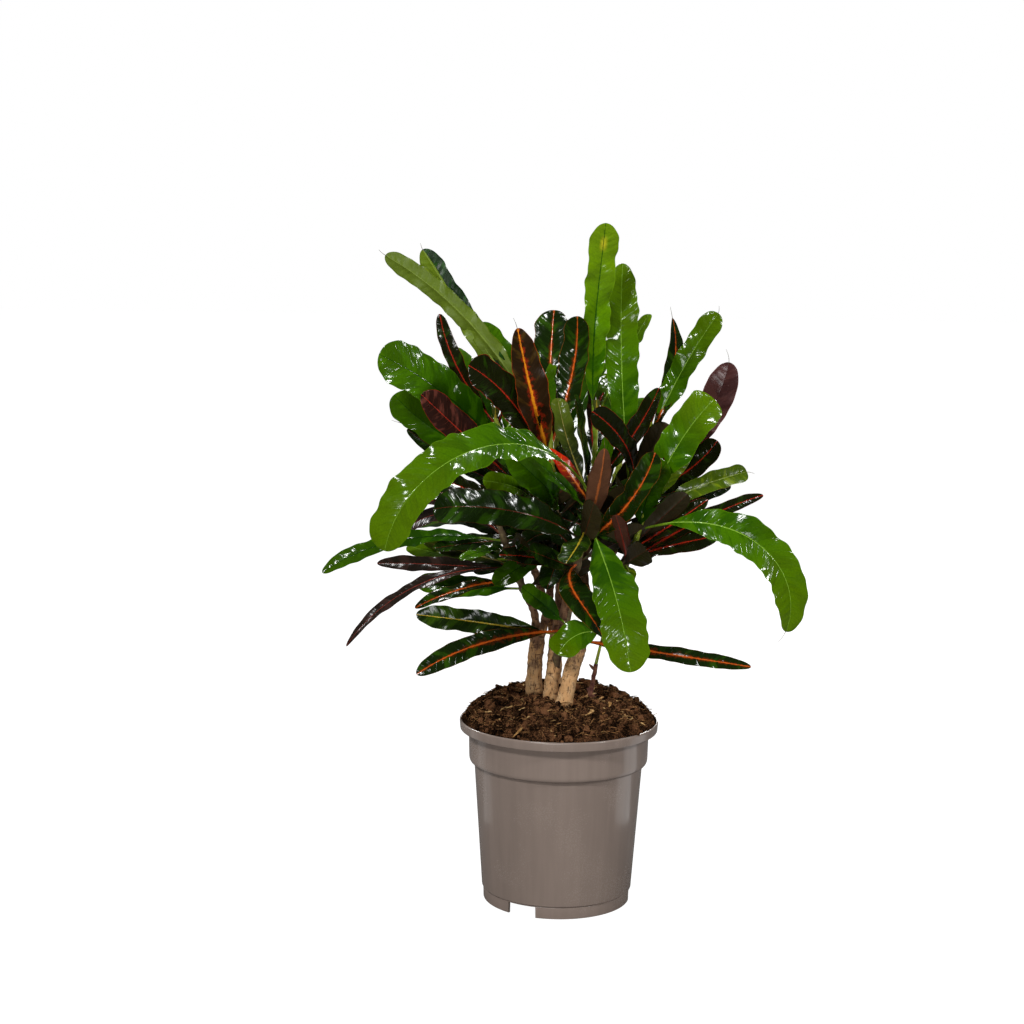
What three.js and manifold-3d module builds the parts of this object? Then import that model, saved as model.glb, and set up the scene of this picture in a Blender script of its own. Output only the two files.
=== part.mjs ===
// A croton plant in a nursery pot: pot, peat, woody trunks and leafy shoots.
// Millimetres, +Z up. The origin is on the floor, under the middle of the pot.
// -Y is the front, the side with the long arching leaf.

import * as THREE from 'three';
import { mergeVertices } from 'three/addons/utils/BufferGeometryUtils.js';
import Module from 'manifold-3d';

const wasm = await Module();
wasm.setup();

// ---------------------------------------------------------------- pot sizes
const POT_HEIGHT = 152.6;
const RIM_RADIUS = 82.5;
const RIM_DEPTH = 8;
const COLLAR_TOP_RADIUS = 74.9;
const COLLAR_FOOT_RADIUS = 74.3;
const COLLAR_FOOT_Z = 117.6;
const BODY_TOP_RADIUS = 70;
const BODY_FOOT_RADIUS = 62.5;
const FOOT_RADIUS = 61.4;
const FOOT_HEIGHT = 9.8;
const FOOT_WALL = 2.4;
const POT_WALL = 1.6;
const NOTCH_COUNT = 3;
const NOTCH_WIDTH = 25;
const NOTCH_TURN = 241;
const DRAIN_COUNT = 6;
const DRAIN_RADIUS = 4;
const DRAIN_RING_RADIUS = 38;
const ROUND_STEPS = 36;

// --------------------------------------------------------------- soil sizes
const SOIL_EDGE_Z = 150.6;
const SOIL_MOUND = 24;
const SOIL_MOUND_POWER = 4;
const SOIL_RINGS = 7;
const SOIL_LUMP = 1.5;

// ------------------------------------------------------ clearances and stems
const CLEARANCE = 0.3;
const TRUNK_SIDES = 8;
const STEM_SIDES = 6;
const TRUNK_STEPS = 6;
const BRANCH_STEPS = 4;
const STEM_STEPS = 3;
const OLD_STEM_RADIUS = 2.9;
const YOUNG_STEM_RADIUS = 2.4;
const BRANCH_RADIUS = 3.2;

// --------------------------------------------------------------- leaf shape
const LEAF_STEP_LENGTH = 17;
const LEAF_STEPS_MIN = 5;
const LEAF_STEPS_MAX = 9;
const LEAF_THICKNESS = 0.7;
const RIB_THICKNESS = 1.5;
const PETIOLE_WIDTH = 2.2;
const TIP_WIDTH = 1.2;
const DROOP_POWER = 1.5;
const BLADE_FOLD = 0.16;
const WAVE_LENGTH = 48;
const WAVE_SKEW = 0.37;
const MIDRIB_STEPS = 60;

// petiole: share of the leaf's length; wave: height of the margin's waves;
// full: share of the blade where it reaches its full width; round: share of
// the blade where its tip starts to round off.
const KINDS = {
  lime: { petiole: 0.2, wave: 2.2, full: 0.35, round: 0.89 },
  broad: { petiole: 0.13, wave: 1.6, full: 0.45, round: 0.86 },
  green: { petiole: 0.13, wave: 1.6, full: 0.45, round: 0.76 },
  dark: { petiole: 0.1, wave: 1.2, full: 0.55, round: 0.68 },
  bronze: { petiole: 0.1, wave: 1.0, full: 0.5, round: 0.55 },
  maroon: { petiole: 0.08, wave: 0.8, full: 0.6, round: 0.78 },
  ember: { petiole: 0.08, wave: 1.0, full: 0.5, round: 0.6 },
};

// ------------------------------------------------------------ woody trunks
// Each trunk runs from below the soil to its cut top; branches rise from it.
const TRUNKS = {
  trunk_left: {
    radius: 6.5,
    route: [[-21, -10, 140], [-21, -10, 172], [-21, -11, 198], [-19, -10, 222]],
    branches: { left_low: [-22, -14, 206], left_high: [-19, -6, 208] },
  },
  trunk_middle: {
    radius: 5.6,
    route: [[-8, -25, 140], [-8, -25, 172], [-6, -22, 198], [-3, -20, 224]],
    branches: { front: [-1, -22, 212], centre: [-5, -19, 212], low: [-4, -23, 200] },
  },
  trunk_right: {
    radius: 6.3,
    route: [[-2, -42, 140], [3, -38, 172], [12, -29, 210], [28, -14, 250]],
    branches: { right_front: [26, -16, 240], right_back: [25, -16, 238], centre_back: [24, -16, 236] },
  },
  trunk_back: {
    radius: 5.8,
    route: [[-4, 26, 140], [-4, 27, 172], [-3, 29, 200], [-2, 31, 226]],
    branches: { back_left: [-3, 31, 212], back_mid: [-3, 31, 214], back_right: [-2, 31, 212] },
  },
  twig_right: {
    radius: 1.8,
    route: [[20, -18, 145], [24, -20, 172], [29, -24, 204]],
    branches: { twig: [29, -24, 200] },
  },
};

// ------------------------------------------------------------- leafy shoots
// path: the stem from its woody branch to its tip.
// split: the share of the path where the old stem meets the young one.
// radius: the stem's radius, where it is thinner than the others.
// leaves: kind, share of the path, heading (0 is +X, 90 is +Y), rise of the
// petiole, droop along the leaf, sway of the heading along the leaf, length,
// width, and turn of the blade about its midrib. Angles are in degrees.
const SHOOTS = {
  left_low: {
    path: [[-30, -20, 262], [-45, -25, 300], [-58, -30, 338]],
    leaves: [
      ['green', 0.04, 178, 0, -8, 15, 88, 21, 50],
      ['dark', 0.14, 220, 2, 25, -10, 102, 13, 30],
      ['bronze', 0.26, 228, 9, 65, -30, 175, 11, 30],
      ['dark', 0.24, 195, 7, 6, 0, 115, 14, 50],
      ['bronze', 0.3, 157, 10, 2, 0, 82, 15, 50],
      ['broad', 0.36, 145, -5, -15, 5, 104, 18, 35],
      ['green', 0.42, 260, 18, 35, -40, 80, 11, 25],
      ['green', 0.56, 152, 4, 38, 45, 160, 16, 45],
      ['maroon', 0.62, 130, 25, 70, 40, 105, 16, 50],
    ],
  },
  left_high: {
    path: [[-20, 8, 296], [-38, 12, 350], [-56, 10, 402]],
    split: 0.58,
    leaves: [
      ['dark', 0.06, 195, -2, 6, 0, 86, 20, 30],
      ['dark', 0.14, 285, -5, 20, 0, 56, 18, 30],
      ['dark', 0.18, 170, 20, 15, 0, 105, 20, 40],
      ['dark', 0.3, 215, 15, -10, 0, 95, 20, 50],
      ['dark', 0.4, 175, 22, -16, 0, 108, 16, 50],
      ['maroon', 0.46, 220, 38, 0, 0, 128, 28, 80],
      ['broad', 0.62, 177, 18, -30, 0, 114, 30, 55],
      ['broad', 0.7, 203, 46, 22, -12, 138, 38, 70],
      ['dark', 0.9, 190, 50, -30, -15, 108, 15, 60],
      ['lime', 0.22, 287, 33, 26, -82, 102, 16, 75],
    ],
  },
  centre: {
    path: [[-4, -6, 296], [-8, -4, 350], [-12, 0, 402]],
    split: 0.56,
    leaves: [
      ['dark', 0.05, 310, 42, 10, 0, 54, 13, -30],
      ['dark', 0.12, 245, 8, 30, 0, 72, 18, 20],
      ['green', 0.28, 283, 23, -22, -84, 110, 26, 95],
      ['dark', 0.2, 210, 20, 10, 0, 76, 20, 50],
      ['dark', 0.48, 203, 33, 10, 0, 62, 20, 60],
      ['bronze', 0.6, 212, 70, -5, 10, 122, 32, 90],
      ['broad', 0.66, 103, 68, -6, -30, 130, 29, 0],
      ['lime', 0.74, 168, 56, 0, 0, 196, 18, -90],
      ['broad', 0.78, 55, 60, -35, -25, 112, 26, -20],
      ['lime', 0.82, 168, 60, 32, 8, 206, 17, -85],
      ['green', 0.88, 143, 52, 5, 0, 115, 24, 30],
      ['broad', 0.94, 100, 60, 0, 0, 80, 18, 0],
      ['broad', 0.57, 205, 64, 40, 13, 124, 29, 85],
      ['green', 0.02, 225, -15, 10, 0, 75, 20, 30],
      ['dark', 0.08, 278, -26, 23, -37, 60, 22, -10],
    ],
  },
  centre_back: {
    path: [[22, 10, 306], [26, 22, 355], [28, 28, 408]],
    split: 0.56,
    leaves: [
      ['dark', 0.1, 268, 25, 30, 0, 34, 14, 30],
      ['dark', 0.3, 235, 72, 0, 0, 92, 25, 70],
      ['dark', 0.32, 330, 18, 20, 0, 70, 20, -40],
      ['dark', 0.4, 339, 49, -18, -2, 101, 20, -65],
      ['maroon', 0.6, 105, 70, -12, -30, 100, 13, 60],
      ['lime', 0.7, 138, 83, -36, -42, 190, 24, 0],
      ['lime', 0.93, 40, 58, 10, 8, 106, 14, 0],
      ['green', 0.1, 330, 76, 0, 0, 78, 16, -70],
      ['dark', 0.15, 180, 50, -20, 0, 56, 24, 70],
    ],
  },
  front: {
    path: [[10, -38, 282], [17, -48, 315], [22, -54, 350]],
    split: 0.45,
    leaves: [
      ['dark', 0.06, 215, 18, 15, -8, 74, 17, 40],
      ['dark', 0.12, 236, -15, 49, 117, 88, 24, -20],
      ['broad', 0.38, 247, 30, 44, -98, 146, 28, 65],
      ['bronze', 0.48, 285, 45, -30, 0, 90, 18, 0],
      ['green', 0.56, 257, -20, 0, -10, 58, 20, 0],
      ['green', 0.66, 300, -45, 18, -15, 135, 36, -10],
      ['green', 0.76, 221, 42, 10, -10, 82, 14, 60],
      ['ember', 0.84, 178, 58, 15, 0, 56, 15, 40],
      ['lime', 0.9, 134, 54, -15, -15, 90, 17, 0],
      ['lime', 0.94, 242, 40, 120, -48, 256, 36, 40],
      ['broad', 0.35, 340, 38, -37, 1, 99, 22, -70],
    ],
  },
  right_front: {
    path: [[48, -28, 284], [63, -34, 320], [74, -38, 362]],
    split: 0.28,
    leaves: [
      ['green', 0.04, 290, 5, 110, -50, 46, 13, 0],
      ['dark', 0.06, 2, 33, 16, 5, 126, 13, -50],
      ['maroon', 0.1, 265, 40, -10, -20, 62, 12, 0],
      ['dark', 0.14, 5, 16, 8, 5, 76, 18, -60],
      ['dark', 0.22, 349, 34, -4, 0, 75, 15, -55],
      ['broad', 0.38, 325, 79, 29, 1, 68, 24, -85],
      ['green', 0.46, 331, 18, 128, 36, 180, 31, -65],
      ['lime', 0.66, 17, 23, 16, 15, 97, 16, -60],
      ['lime', 0.75, 350, 68, 22, 10, 97, 32, -65],
      ['lime', 0.6, 35, 50, -7, 4, 96, 16, -40],
    ],
  },
  right_back: {
    path: [[46, 12, 300], [62, 28, 350], [74, 36, 398]],
    split: 0.56,
    leaves: [
      ['dark', 0.06, 258, 10, 20, 0, 60, 18, 20],
      ['dark', 0.14, 350, 25, 10, 0, 95, 18, -50],
      ['dark', 0.24, 238, 30, 20, 0, 58, 18, 20],
      ['green', 0.34, 137, 81, 2, -60, 197, 28, 0],
      ['broad', 0.36, 327, 19, -37, 7, 94, 20, -85],
      ['maroon', 0.5, 347, 34, -48, 9, 128, 27, -75],
      ['broad', 0.4, 275, 48, 17, -65, 110, 20, 100],
      ['dark', 0.68, 330, 68, 0, 150, 125, 16, -30],
      ['lime', 0.76, 352, 68, 13, 0, 128, 21, -70],
      ['dark', 0.42, 320, 60, 0, 0, 66, 26, 70],
      ['dark', 0.1, 0, 15, 0, 0, 48, 26, -35],
    ],
  },
  low: {
    path: [[0, -30, 222], [5, -36, 240], [8, -40, 258]],
    radius: 2,
    leaves: [
      ['dark', 0.32, 196, -1, 32, 0, 129, 18, 65],
      ['green', 0.2, 182, 9, 3, 0, 121, 19, 75],
      ['dark', 0.14, 354, -7, 0, 0, 153, 13, -60],
      ['green', 0.45, 212, 40, 5, 0, 56, 16, 80],
    ],
  },
  twig: {
    path: [[29, -24, 204.3], [32, -24, 218], [36, -26, 236]],
    radius: 1.4,
    leaves: [
      ['broad', 0.85, 222, 15, 70, 0, 56, 24, 50],
    ],
  },
  back_left: {
    path: [[-30, 36, 292], [-46, 48, 340], [-56, 56, 388]],
    split: 0.5,
    leaves: [
      ['dark', 0.1, 150, 10, 30, 0, 105, 19, 20],
      ['dark', 0.18, 104, 24, 34, 0, 126, 22, 0],
      ['maroon', 0.28, 200, 15, 20, 0, 95, 18, 20],
      ['dark', 0.36, 125, 30, 20, 0, 100, 22, 0],
      ['dark', 0.44, 75, 40, 10, 0, 90, 22, 0],
      ['green', 0.56, 170, 35, 20, 0, 100, 24, 20],
      ['green', 0.66, 110, 45, 30, 0, 100, 24, 0],
      ['lime', 0.78, 60, 60, 20, 0, 100, 22, 0],
      ['green', 0.88, 140, 65, 20, 0, 95, 24, 0],
    ],
  },
  back_mid: {
    path: [[-2, 36, 290], [-4, 50, 340], [-4, 60, 392]],
    split: 0.5,
    leaves: [
      ['dark', 0.1, 94, 16, 34, 0, 158, 26, 0],
      ['dark', 0.22, 50, 25, 20, 0, 75, 20, 0],
      ['bronze', 0.32, 130, 30, 10, 0, 75, 20, 0],
      ['dark', 0.42, 80, 40, 10, 0, 80, 22, 0],
      ['green', 0.58, 115, 50, 30, 0, 90, 24, 0],
      ['green', 0.7, 45, 60, 10, 0, 100, 24, 0],
      ['lime', 0.82, 92, 48, 95, 0, 160, 30, 0],
      ['green', 0.92, 150, 75, 0, 0, 80, 22, 0],
      ['dark', 0.05, 205, -8, 20, 0, 80, 26, 30],
      ['dark', 0.42, 320, -35, 0, 0, 66, 26, -35],
    ],
  },
  back_right: {
    path: [[26, 40, 296], [44, 52, 344], [58, 58, 392]],
    split: 0.5,
    leaves: [
      ['dark', 0.08, 40, 5, 25, 0, 105, 18, 0],
      ['dark', 0.16, 84, 18, 30, 0, 122, 24, 0],
      ['dark', 0.26, 5, 15, 15, 0, 105, 18, -20],
      ['maroon', 0.36, 60, 30, 20, 0, 95, 20, 0],
      ['dark', 0.44, 100, 40, 10, 0, 80, 22, 0],
      ['green', 0.56, 20, 35, 20, 0, 100, 24, -10],
      ['green', 0.66, 70, 45, 30, 0, 95, 24, 0],
      ['lime', 0.78, 110, 55, 20, 0, 85, 22, 0],
      ['green', 0.88, 40, 45, 20, 0, 80, 24, 0],
      ['dark', 0.1, 320, -10, 0, 0, 66, 26, -70],
    ],
  },
};

// ------------------------------------------------------------ solid helpers
const radians = THREE.MathUtils.degToRad;

function toSolid(geometry) {
  const bare = geometry.clone();
  bare.deleteAttribute('normal');
  bare.deleteAttribute('uv');
  const merged = mergeVertices(bare, 1e-4);
  const vertProperties = new Float32Array(merged.attributes.position.array);
  const triVerts = new Uint32Array(merged.index.array);
  return new wasm.Manifold(new wasm.Mesh({ numProp: 3, vertProperties, triVerts }));
}

function toGeometry(solid) {
  const mesh = solid.getMesh();
  const geometry = new THREE.BufferGeometry();
  geometry.setAttribute('position', new THREE.BufferAttribute(mesh.vertProperties, 3));
  geometry.setIndex(new THREE.BufferAttribute(mesh.triVerts, 1));
  geometry.computeVertexNormals();
  return geometry;
}

function joined(geometries) {
  return toGeometry(geometries.map(toSolid).reduce((whole, piece) => whole.add(piece)));
}

// A turned shape: the profile's points are [radius, height].
function turned(profile) {
  const points = profile.map(([radius, height]) => new THREE.Vector2(radius, height));
  return new THREE.LatheGeometry(points, ROUND_STEPS).rotateX(Math.PI / 2);
}

// A round rod along a curve, with flat ends.
function rod(curve, radius, steps, sides) {
  const ring = new THREE.Shape();
  for (let side = 0; side < sides; side += 1) {
    const angle = (2 * Math.PI * side) / sides;
    const x = radius * Math.cos(angle);
    const y = radius * Math.sin(angle);
    if (side === 0) ring.moveTo(x, y);
    else ring.lineTo(x, y);
  }
  ring.closePath();
  return new THREE.ExtrudeGeometry(ring, { steps, extrudePath: curve, bevelEnabled: false });
}

const vector = ([x, y, z]) => new THREE.Vector3(x, y, z);

// The smooth route through three points: the middle one lies halfway along.
function stemCurve([start, middle, end]) {
  const bend = vector(middle).multiplyScalar(2);
  bend.addScaledVector(vector(start), -0.5);
  bend.addScaledVector(vector(end), -0.5);
  return new THREE.QuadraticBezierCurve3(vector(start), bend, vector(end));
}

// The stretch of a stem between two shares of its path.
function stretch(curve, from, to) {
  const points = [0, 0.25, 0.5, 0.75, 1].map((share) => curve.getPoint(from + (to - from) * share));
  return new THREE.CatmullRomCurve3(points);
}

// ---------------------------------------------------------------------- pot
function potProfile() {
  const rimFoot = POT_HEIGHT - RIM_DEPTH;
  const footInner = FOOT_RADIUS - FOOT_WALL;
  const rimInner = RIM_RADIUS - POT_WALL;
  return [
    [0, FOOT_HEIGHT - 0.4],
    [footInner, FOOT_HEIGHT - 0.4],
    [footInner, 0],
    [FOOT_RADIUS - 0.3, 0],
    [FOOT_RADIUS, FOOT_HEIGHT - 0.5],
    [FOOT_RADIUS - 0.5, FOOT_HEIGHT],
    [BODY_FOOT_RADIUS, FOOT_HEIGHT + 0.6],
    [BODY_TOP_RADIUS, COLLAR_FOOT_Z - 1],
    [COLLAR_FOOT_RADIUS - 1, COLLAR_FOOT_Z],
    [COLLAR_FOOT_RADIUS, COLLAR_FOOT_Z + 1.4],
    [COLLAR_TOP_RADIUS, rimFoot - 0.6],
    [RIM_RADIUS - 0.6, rimFoot],
    [RIM_RADIUS, rimFoot + 1],
    [RIM_RADIUS, POT_HEIGHT - 0.7],
    [RIM_RADIUS - 0.6, POT_HEIGHT],
    [rimInner + 0.2, POT_HEIGHT],
    [rimInner - 0.4, rimFoot + POT_WALL + 0.4],
    [COLLAR_TOP_RADIUS - POT_WALL, rimFoot + POT_WALL],
    [COLLAR_FOOT_RADIUS - POT_WALL, COLLAR_FOOT_Z + POT_WALL + 0.4],
    [BODY_TOP_RADIUS - POT_WALL, COLLAR_FOOT_Z - 0.6],
    [BODY_FOOT_RADIUS - POT_WALL, FOOT_HEIGHT + 2],
    [0, FOOT_HEIGHT + POT_WALL],
  ];
}

function makePot() {
  let pot = toSolid(turned(potProfile()));
  for (let notch = 0; notch < NOTCH_COUNT; notch += 1) {
    const angle = radians(NOTCH_TURN + (360 / NOTCH_COUNT) * notch);
    const cutter = new THREE.BoxGeometry(20, NOTCH_WIDTH, 2 * (FOOT_HEIGHT - 0.6));
    cutter.translate(FOOT_RADIUS, 0, 0);
    cutter.rotateZ(angle);
    pot = pot.subtract(toSolid(cutter));
  }
  for (let drain = 0; drain < DRAIN_COUNT; drain += 1) {
    const angle = (2 * Math.PI * drain) / DRAIN_COUNT;
    const cutter = new THREE.CylinderGeometry(DRAIN_RADIUS, DRAIN_RADIUS, 8, 12);
    cutter.rotateX(Math.PI / 2);
    cutter.translate(DRAIN_RING_RADIUS * Math.cos(angle), DRAIN_RING_RADIUS * Math.sin(angle), FOOT_HEIGHT);
    pot = pot.subtract(toSolid(cutter));
  }
  return toGeometry(pot);
}

// --------------------------------------------------------------------- soil
// The peat fills the pot, is mounded round the trunks and is lumpy on top.
function makeSoil() {
  const rimFoot = POT_HEIGHT - RIM_DEPTH;
  const edge = RIM_RADIUS - POT_WALL - 0.4 - 2 * CLEARANCE;
  const side = [
    [0, FOOT_HEIGHT + POT_WALL + 2 * CLEARANCE],
    [BODY_FOOT_RADIUS - POT_WALL - 1, FOOT_HEIGHT + POT_WALL + 2 * CLEARANCE + 0.4],
    [BODY_TOP_RADIUS - POT_WALL - 2 * CLEARANCE, COLLAR_FOOT_Z - 0.6],
    [COLLAR_FOOT_RADIUS - POT_WALL - 2 * CLEARANCE, COLLAR_FOOT_Z + POT_WALL + 1],
    [COLLAR_TOP_RADIUS - POT_WALL - 2 * CLEARANCE, rimFoot + POT_WALL + 0.8],
    [edge, rimFoot + POT_WALL + 1.2],
    [edge, SOIL_EDGE_Z],
  ];
  const top = [];
  for (let ring = 1; ring <= SOIL_RINGS; ring += 1) {
    const radius = edge * (1 - ring / SOIL_RINGS);
    const mound = 1 - (radius / edge) ** SOIL_MOUND_POWER;
    top.push([radius, SOIL_EDGE_Z + SOIL_MOUND * mound]);
  }
  const geometry = turned([...side, ...top]);
  const position = geometry.attributes.position;
  for (let index = 0; index < position.count; index += 1) {
    const x = position.getX(index);
    const y = position.getY(index);
    const z = position.getZ(index);
    const radius = Math.hypot(x, y);
    if (z > SOIL_EDGE_Z + 0.1 && radius > 0.01) {
      const lump = Math.sin(x * 0.31 + 1.7 * Math.sin(y * 0.17)) + Math.sin(y * 0.27 + x * 0.11);
      position.setZ(index, z + SOIL_LUMP * lump * (1 - radius / edge));
    }
  }
  let soil = toSolid(geometry);
  for (const name of Object.keys(TRUNKS)) {
    const { radius, route } = TRUNKS[name];
    const hole = trunkCurve([lowered(route[0]), ...route.slice(1)]);
    soil = soil.subtract(toSolid(rod(hole, radius + CLEARANCE, TRUNK_STEPS, TRUNK_SIDES)));
  }
  return toGeometry(soil);
}

const lowered = ([x, y, z]) => [x, y, z - CLEARANCE];

// ------------------------------------------------------------------- trunks
const trunkCurve = (route) => new THREE.CatmullRomCurve3(route.map(vector));

function branchCurve(root, shoot) {
  const stem = stemCurve(SHOOTS[shoot].path);
  const start = stem.getPoint(0);
  const direction = stem.getTangent(0);
  const end = start.clone().addScaledVector(direction, -CLEARANCE);
  const bend = start.clone().addScaledVector(direction, -0.4 * start.distanceTo(vector(root)));
  return new THREE.CatmullRomCurve3([vector(root), bend, end]);
}

function makeTrunk(name) {
  const { radius, route, branches } = TRUNKS[name];
  const branchRadius = Math.min(BRANCH_RADIUS, radius);
  const pieces = [rod(trunkCurve(route), radius, TRUNK_STEPS, TRUNK_SIDES)];
  for (const [shoot, root] of Object.entries(branches)) {
    if (name !== 'twig_right') pieces.push(rod(branchCurve(root, shoot), branchRadius, BRANCH_STEPS, STEM_SIDES));
  }
  return joined(pieces);
}

// ------------------------------------------------------------------- leaves
// Half the blade's width at a share of the blade: a tapered base that widens
// to a broad far half and a round tip.
function bladeOutline(share, { full, round }) {
  const base = Math.sin((Math.PI / 2) * Math.min(share / full, 1)) ** 0.9;
  const tip = Math.sqrt(Math.max(0, 1 - Math.max(0, (share - round) / (1 - round)) ** 2.2));
  return base * tip;
}

// The midrib's points and headings, in even steps along the leaf.
function midrib(leaf, root, count) {
  const [, , heading, rise, droop, sway, length] = leaf;
  const points = [root.clone()];
  const point = root.clone();
  for (let step = 0; step < count; step += 1) {
    const share = (step + 0.5) / count;
    const pitch = radians(rise - droop * share ** DROOP_POWER);
    const turn = radians(heading + sway * share);
    const ahead = new THREE.Vector3(
      Math.cos(pitch) * Math.cos(turn),
      Math.cos(pitch) * Math.sin(turn),
      Math.sin(pitch),
    );
    point.addScaledVector(ahead, length / count);
    points.push(point.clone());
  }
  return points;
}

function leafFrame(leaf, share) {
  const [, , heading, rise, droop, sway, , , roll] = leaf;
  const pitch = radians(rise - droop * share ** DROOP_POWER);
  const turn = radians(heading + sway * share);
  const side = new THREE.Vector3(-Math.sin(turn), Math.cos(turn), 0);
  const up = new THREE.Vector3(
    -Math.sin(pitch) * Math.cos(turn),
    -Math.sin(pitch) * Math.sin(turn),
    Math.cos(pitch),
  );
  const lean = radians(roll) * Math.min(1, share * 4);
  const rolledUp = up.clone().multiplyScalar(Math.cos(lean)).addScaledVector(side, Math.sin(lean));
  const rolledSide = side.clone().multiplyScalar(Math.cos(lean)).addScaledVector(up, -Math.sin(lean));
  return { side: rolledSide, up: rolledUp };
}

// Shares of the leaf's length at which its sections lie, closer at the tip.
function sectionShares(petiole, length) {
  const shares = [0, petiole];
  const steps = THREE.MathUtils.clamp(Math.round(length / LEAF_STEP_LENGTH), LEAF_STEPS_MIN, LEAF_STEPS_MAX);
  const bladeSteps = steps - 1;
  for (let step = 1; step <= bladeSteps; step += 1) {
    const share = Math.sin((Math.PI / 2) * (step / bladeSteps) ** 0.9);
    shares.push(petiole + (1 - petiole) * share);
  }
  return shares;
}

// One leaf: sections of two margins and a thicker midrib, split alike on the
// upper and the lower face. The margins fold up a little and wave.
function makeLeaf(leaf, root) {
  const [kind, station, , , , , length, width] = leaf;
  const { petiole, wave } = KINDS[kind];
  const waves = length / WAVE_LENGTH;
  const line = midrib(leaf, root, MIDRIB_STEPS);
  const shares = sectionShares(petiole, length);
  const upper = [];
  const lower = [];
  for (const share of shares) {
    const blade = Math.max(0, (share - petiole) / (1 - petiole));
    const floor = blade > 0.9 ? TIP_WIDTH : PETIOLE_WIDTH;
    const half = Math.max(floor / 2, (width / 2) * bladeOutline(blade, KINDS[kind]));
    const inBlade = Math.min(1, blade * 8);
    const ribHalf = (blade > 0.95 ? LEAF_THICKNESS : RIB_THICKNESS) / 2;
    const edgeHalf = THREE.MathUtils.lerp(RIB_THICKNESS, LEAF_THICKNESS, inBlade) / 2;
    const center = line[Math.round(share * MIDRIB_STEPS)];
    const { side, up } = leafFrame(leaf, share);
    for (const across of [-1, 0, 1]) {
      const swing = Math.sin(2 * Math.PI * (waves * blade + WAVE_SKEW * across + station * 7));
      const ripple = wave * swing * inBlade * Math.sin(Math.PI * Math.min(1, blade));
      const lift = Math.abs(across) * (BLADE_FOLD * half * inBlade + ripple);
      const thick = across === 0 ? ribHalf : edgeHalf;
      const middle = center.clone().addScaledVector(side, across * half).addScaledVector(up, lift);
      upper.push(middle.clone().addScaledVector(up, thick));
      lower.push(middle.clone().addScaledVector(up, -thick));
    }
  }
  const geometry = new THREE.BufferGeometry().setFromPoints([...upper, ...lower]);
  geometry.setIndex(leafTriangles(shares.length));
  return geometry;
}

// Triangles of a leaf with the given number of three-point sections.
function leafTriangles(sections) {
  const under = sections * 3;
  const triangles = [];
  const last = (sections - 1) * 3;
  for (let section = 0; section < sections - 1; section += 1) {
    for (const across of [0, 1]) {
      const a = section * 3 + across;
      const b = a + 1;
      const c = a + 3;
      const d = a + 4;
      triangles.push(a, c, b, b, c, d);
      triangles.push(under + a, under + b, under + c, under + b, under + d, under + c);
    }
    const right = section * 3;
    const left = right + 2;
    triangles.push(right, under + right, right + 3, under + right, under + right + 3, right + 3);
    triangles.push(left, left + 3, under + left, under + left, left + 3, under + left + 3);
  }
  for (const across of [0, 1]) {
    triangles.push(across, across + 1, under + across, under + across, across + 1, under + across + 1);
    const end = last + across;
    triangles.push(end, under + end, end + 1, under + end, under + end + 1, end + 1);
  }
  return triangles;
}

// ------------------------------------------------------------------- shoots
function makeShoot(name, from, to, radius) {
  const { path, leaves } = SHOOTS[name];
  const curve = stemCurve(path);
  const pieces = [rod(stretch(curve, from, to), radius, STEM_STEPS, STEM_SIDES)];
  for (const leaf of leaves) {
    const station = leaf[1];
    if (station >= from && station < to) {
      pieces.push(makeLeaf(leaf, curve.getPoint(station)));
    }
  }
  return joined(pieces);
}

// ----------------------------------------------------------------- assembly
function piece(name, geometry, color, roughness) {
  const material = new THREE.MeshStandardMaterial({ color, roughness, metalness: 0 });
  const mesh = new THREE.Mesh(geometry, material);
  mesh.name = name;
  return mesh;
}

const plant = new THREE.Group();
plant.add(piece('pot', makePot(), 0x9a8b80, 0.35));
plant.add(piece('soil', makeSoil(), 0x3a281c, 0.95));
for (const name of Object.keys(TRUNKS)) {
  plant.add(piece(name, makeTrunk(name), 0x8d7562, 0.85));
}
for (const [name, { path, split, radius = OLD_STEM_RADIUS }] of Object.entries(SHOOTS)) {
  const gap = CLEARANCE / stemCurve(path).getLength();
  if (split === undefined) {
    plant.add(piece(`shoot_${name}`, makeShoot(name, 0, 1, radius), 0x2f5a1c, 0.35));
  } else {
    const old = makeShoot(name, 0, split, OLD_STEM_RADIUS);
    const young = makeShoot(name, split + gap, 1, YOUNG_STEM_RADIUS);
    plant.add(piece(`shoot_${name}_old`, old, 0x2b2a18, 0.35));
    plant.add(piece(`shoot_${name}_young`, young, 0x4f9a1c, 0.35));
  }
}

export default plant;
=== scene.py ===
"""The looks of a croton in its nursery pot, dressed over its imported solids.

Shapes are worked out in millimetres in the frame of the solids: +Z up, the
origin on the floor under the middle of the pot, -Y the front. Each mesh is
written in metres, with its place in its points.
"""

from __future__ import annotations

import logging
from dataclasses import dataclass, field
from enum import Enum

import bpy
import numpy as np
from mathutils import Matrix


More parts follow.
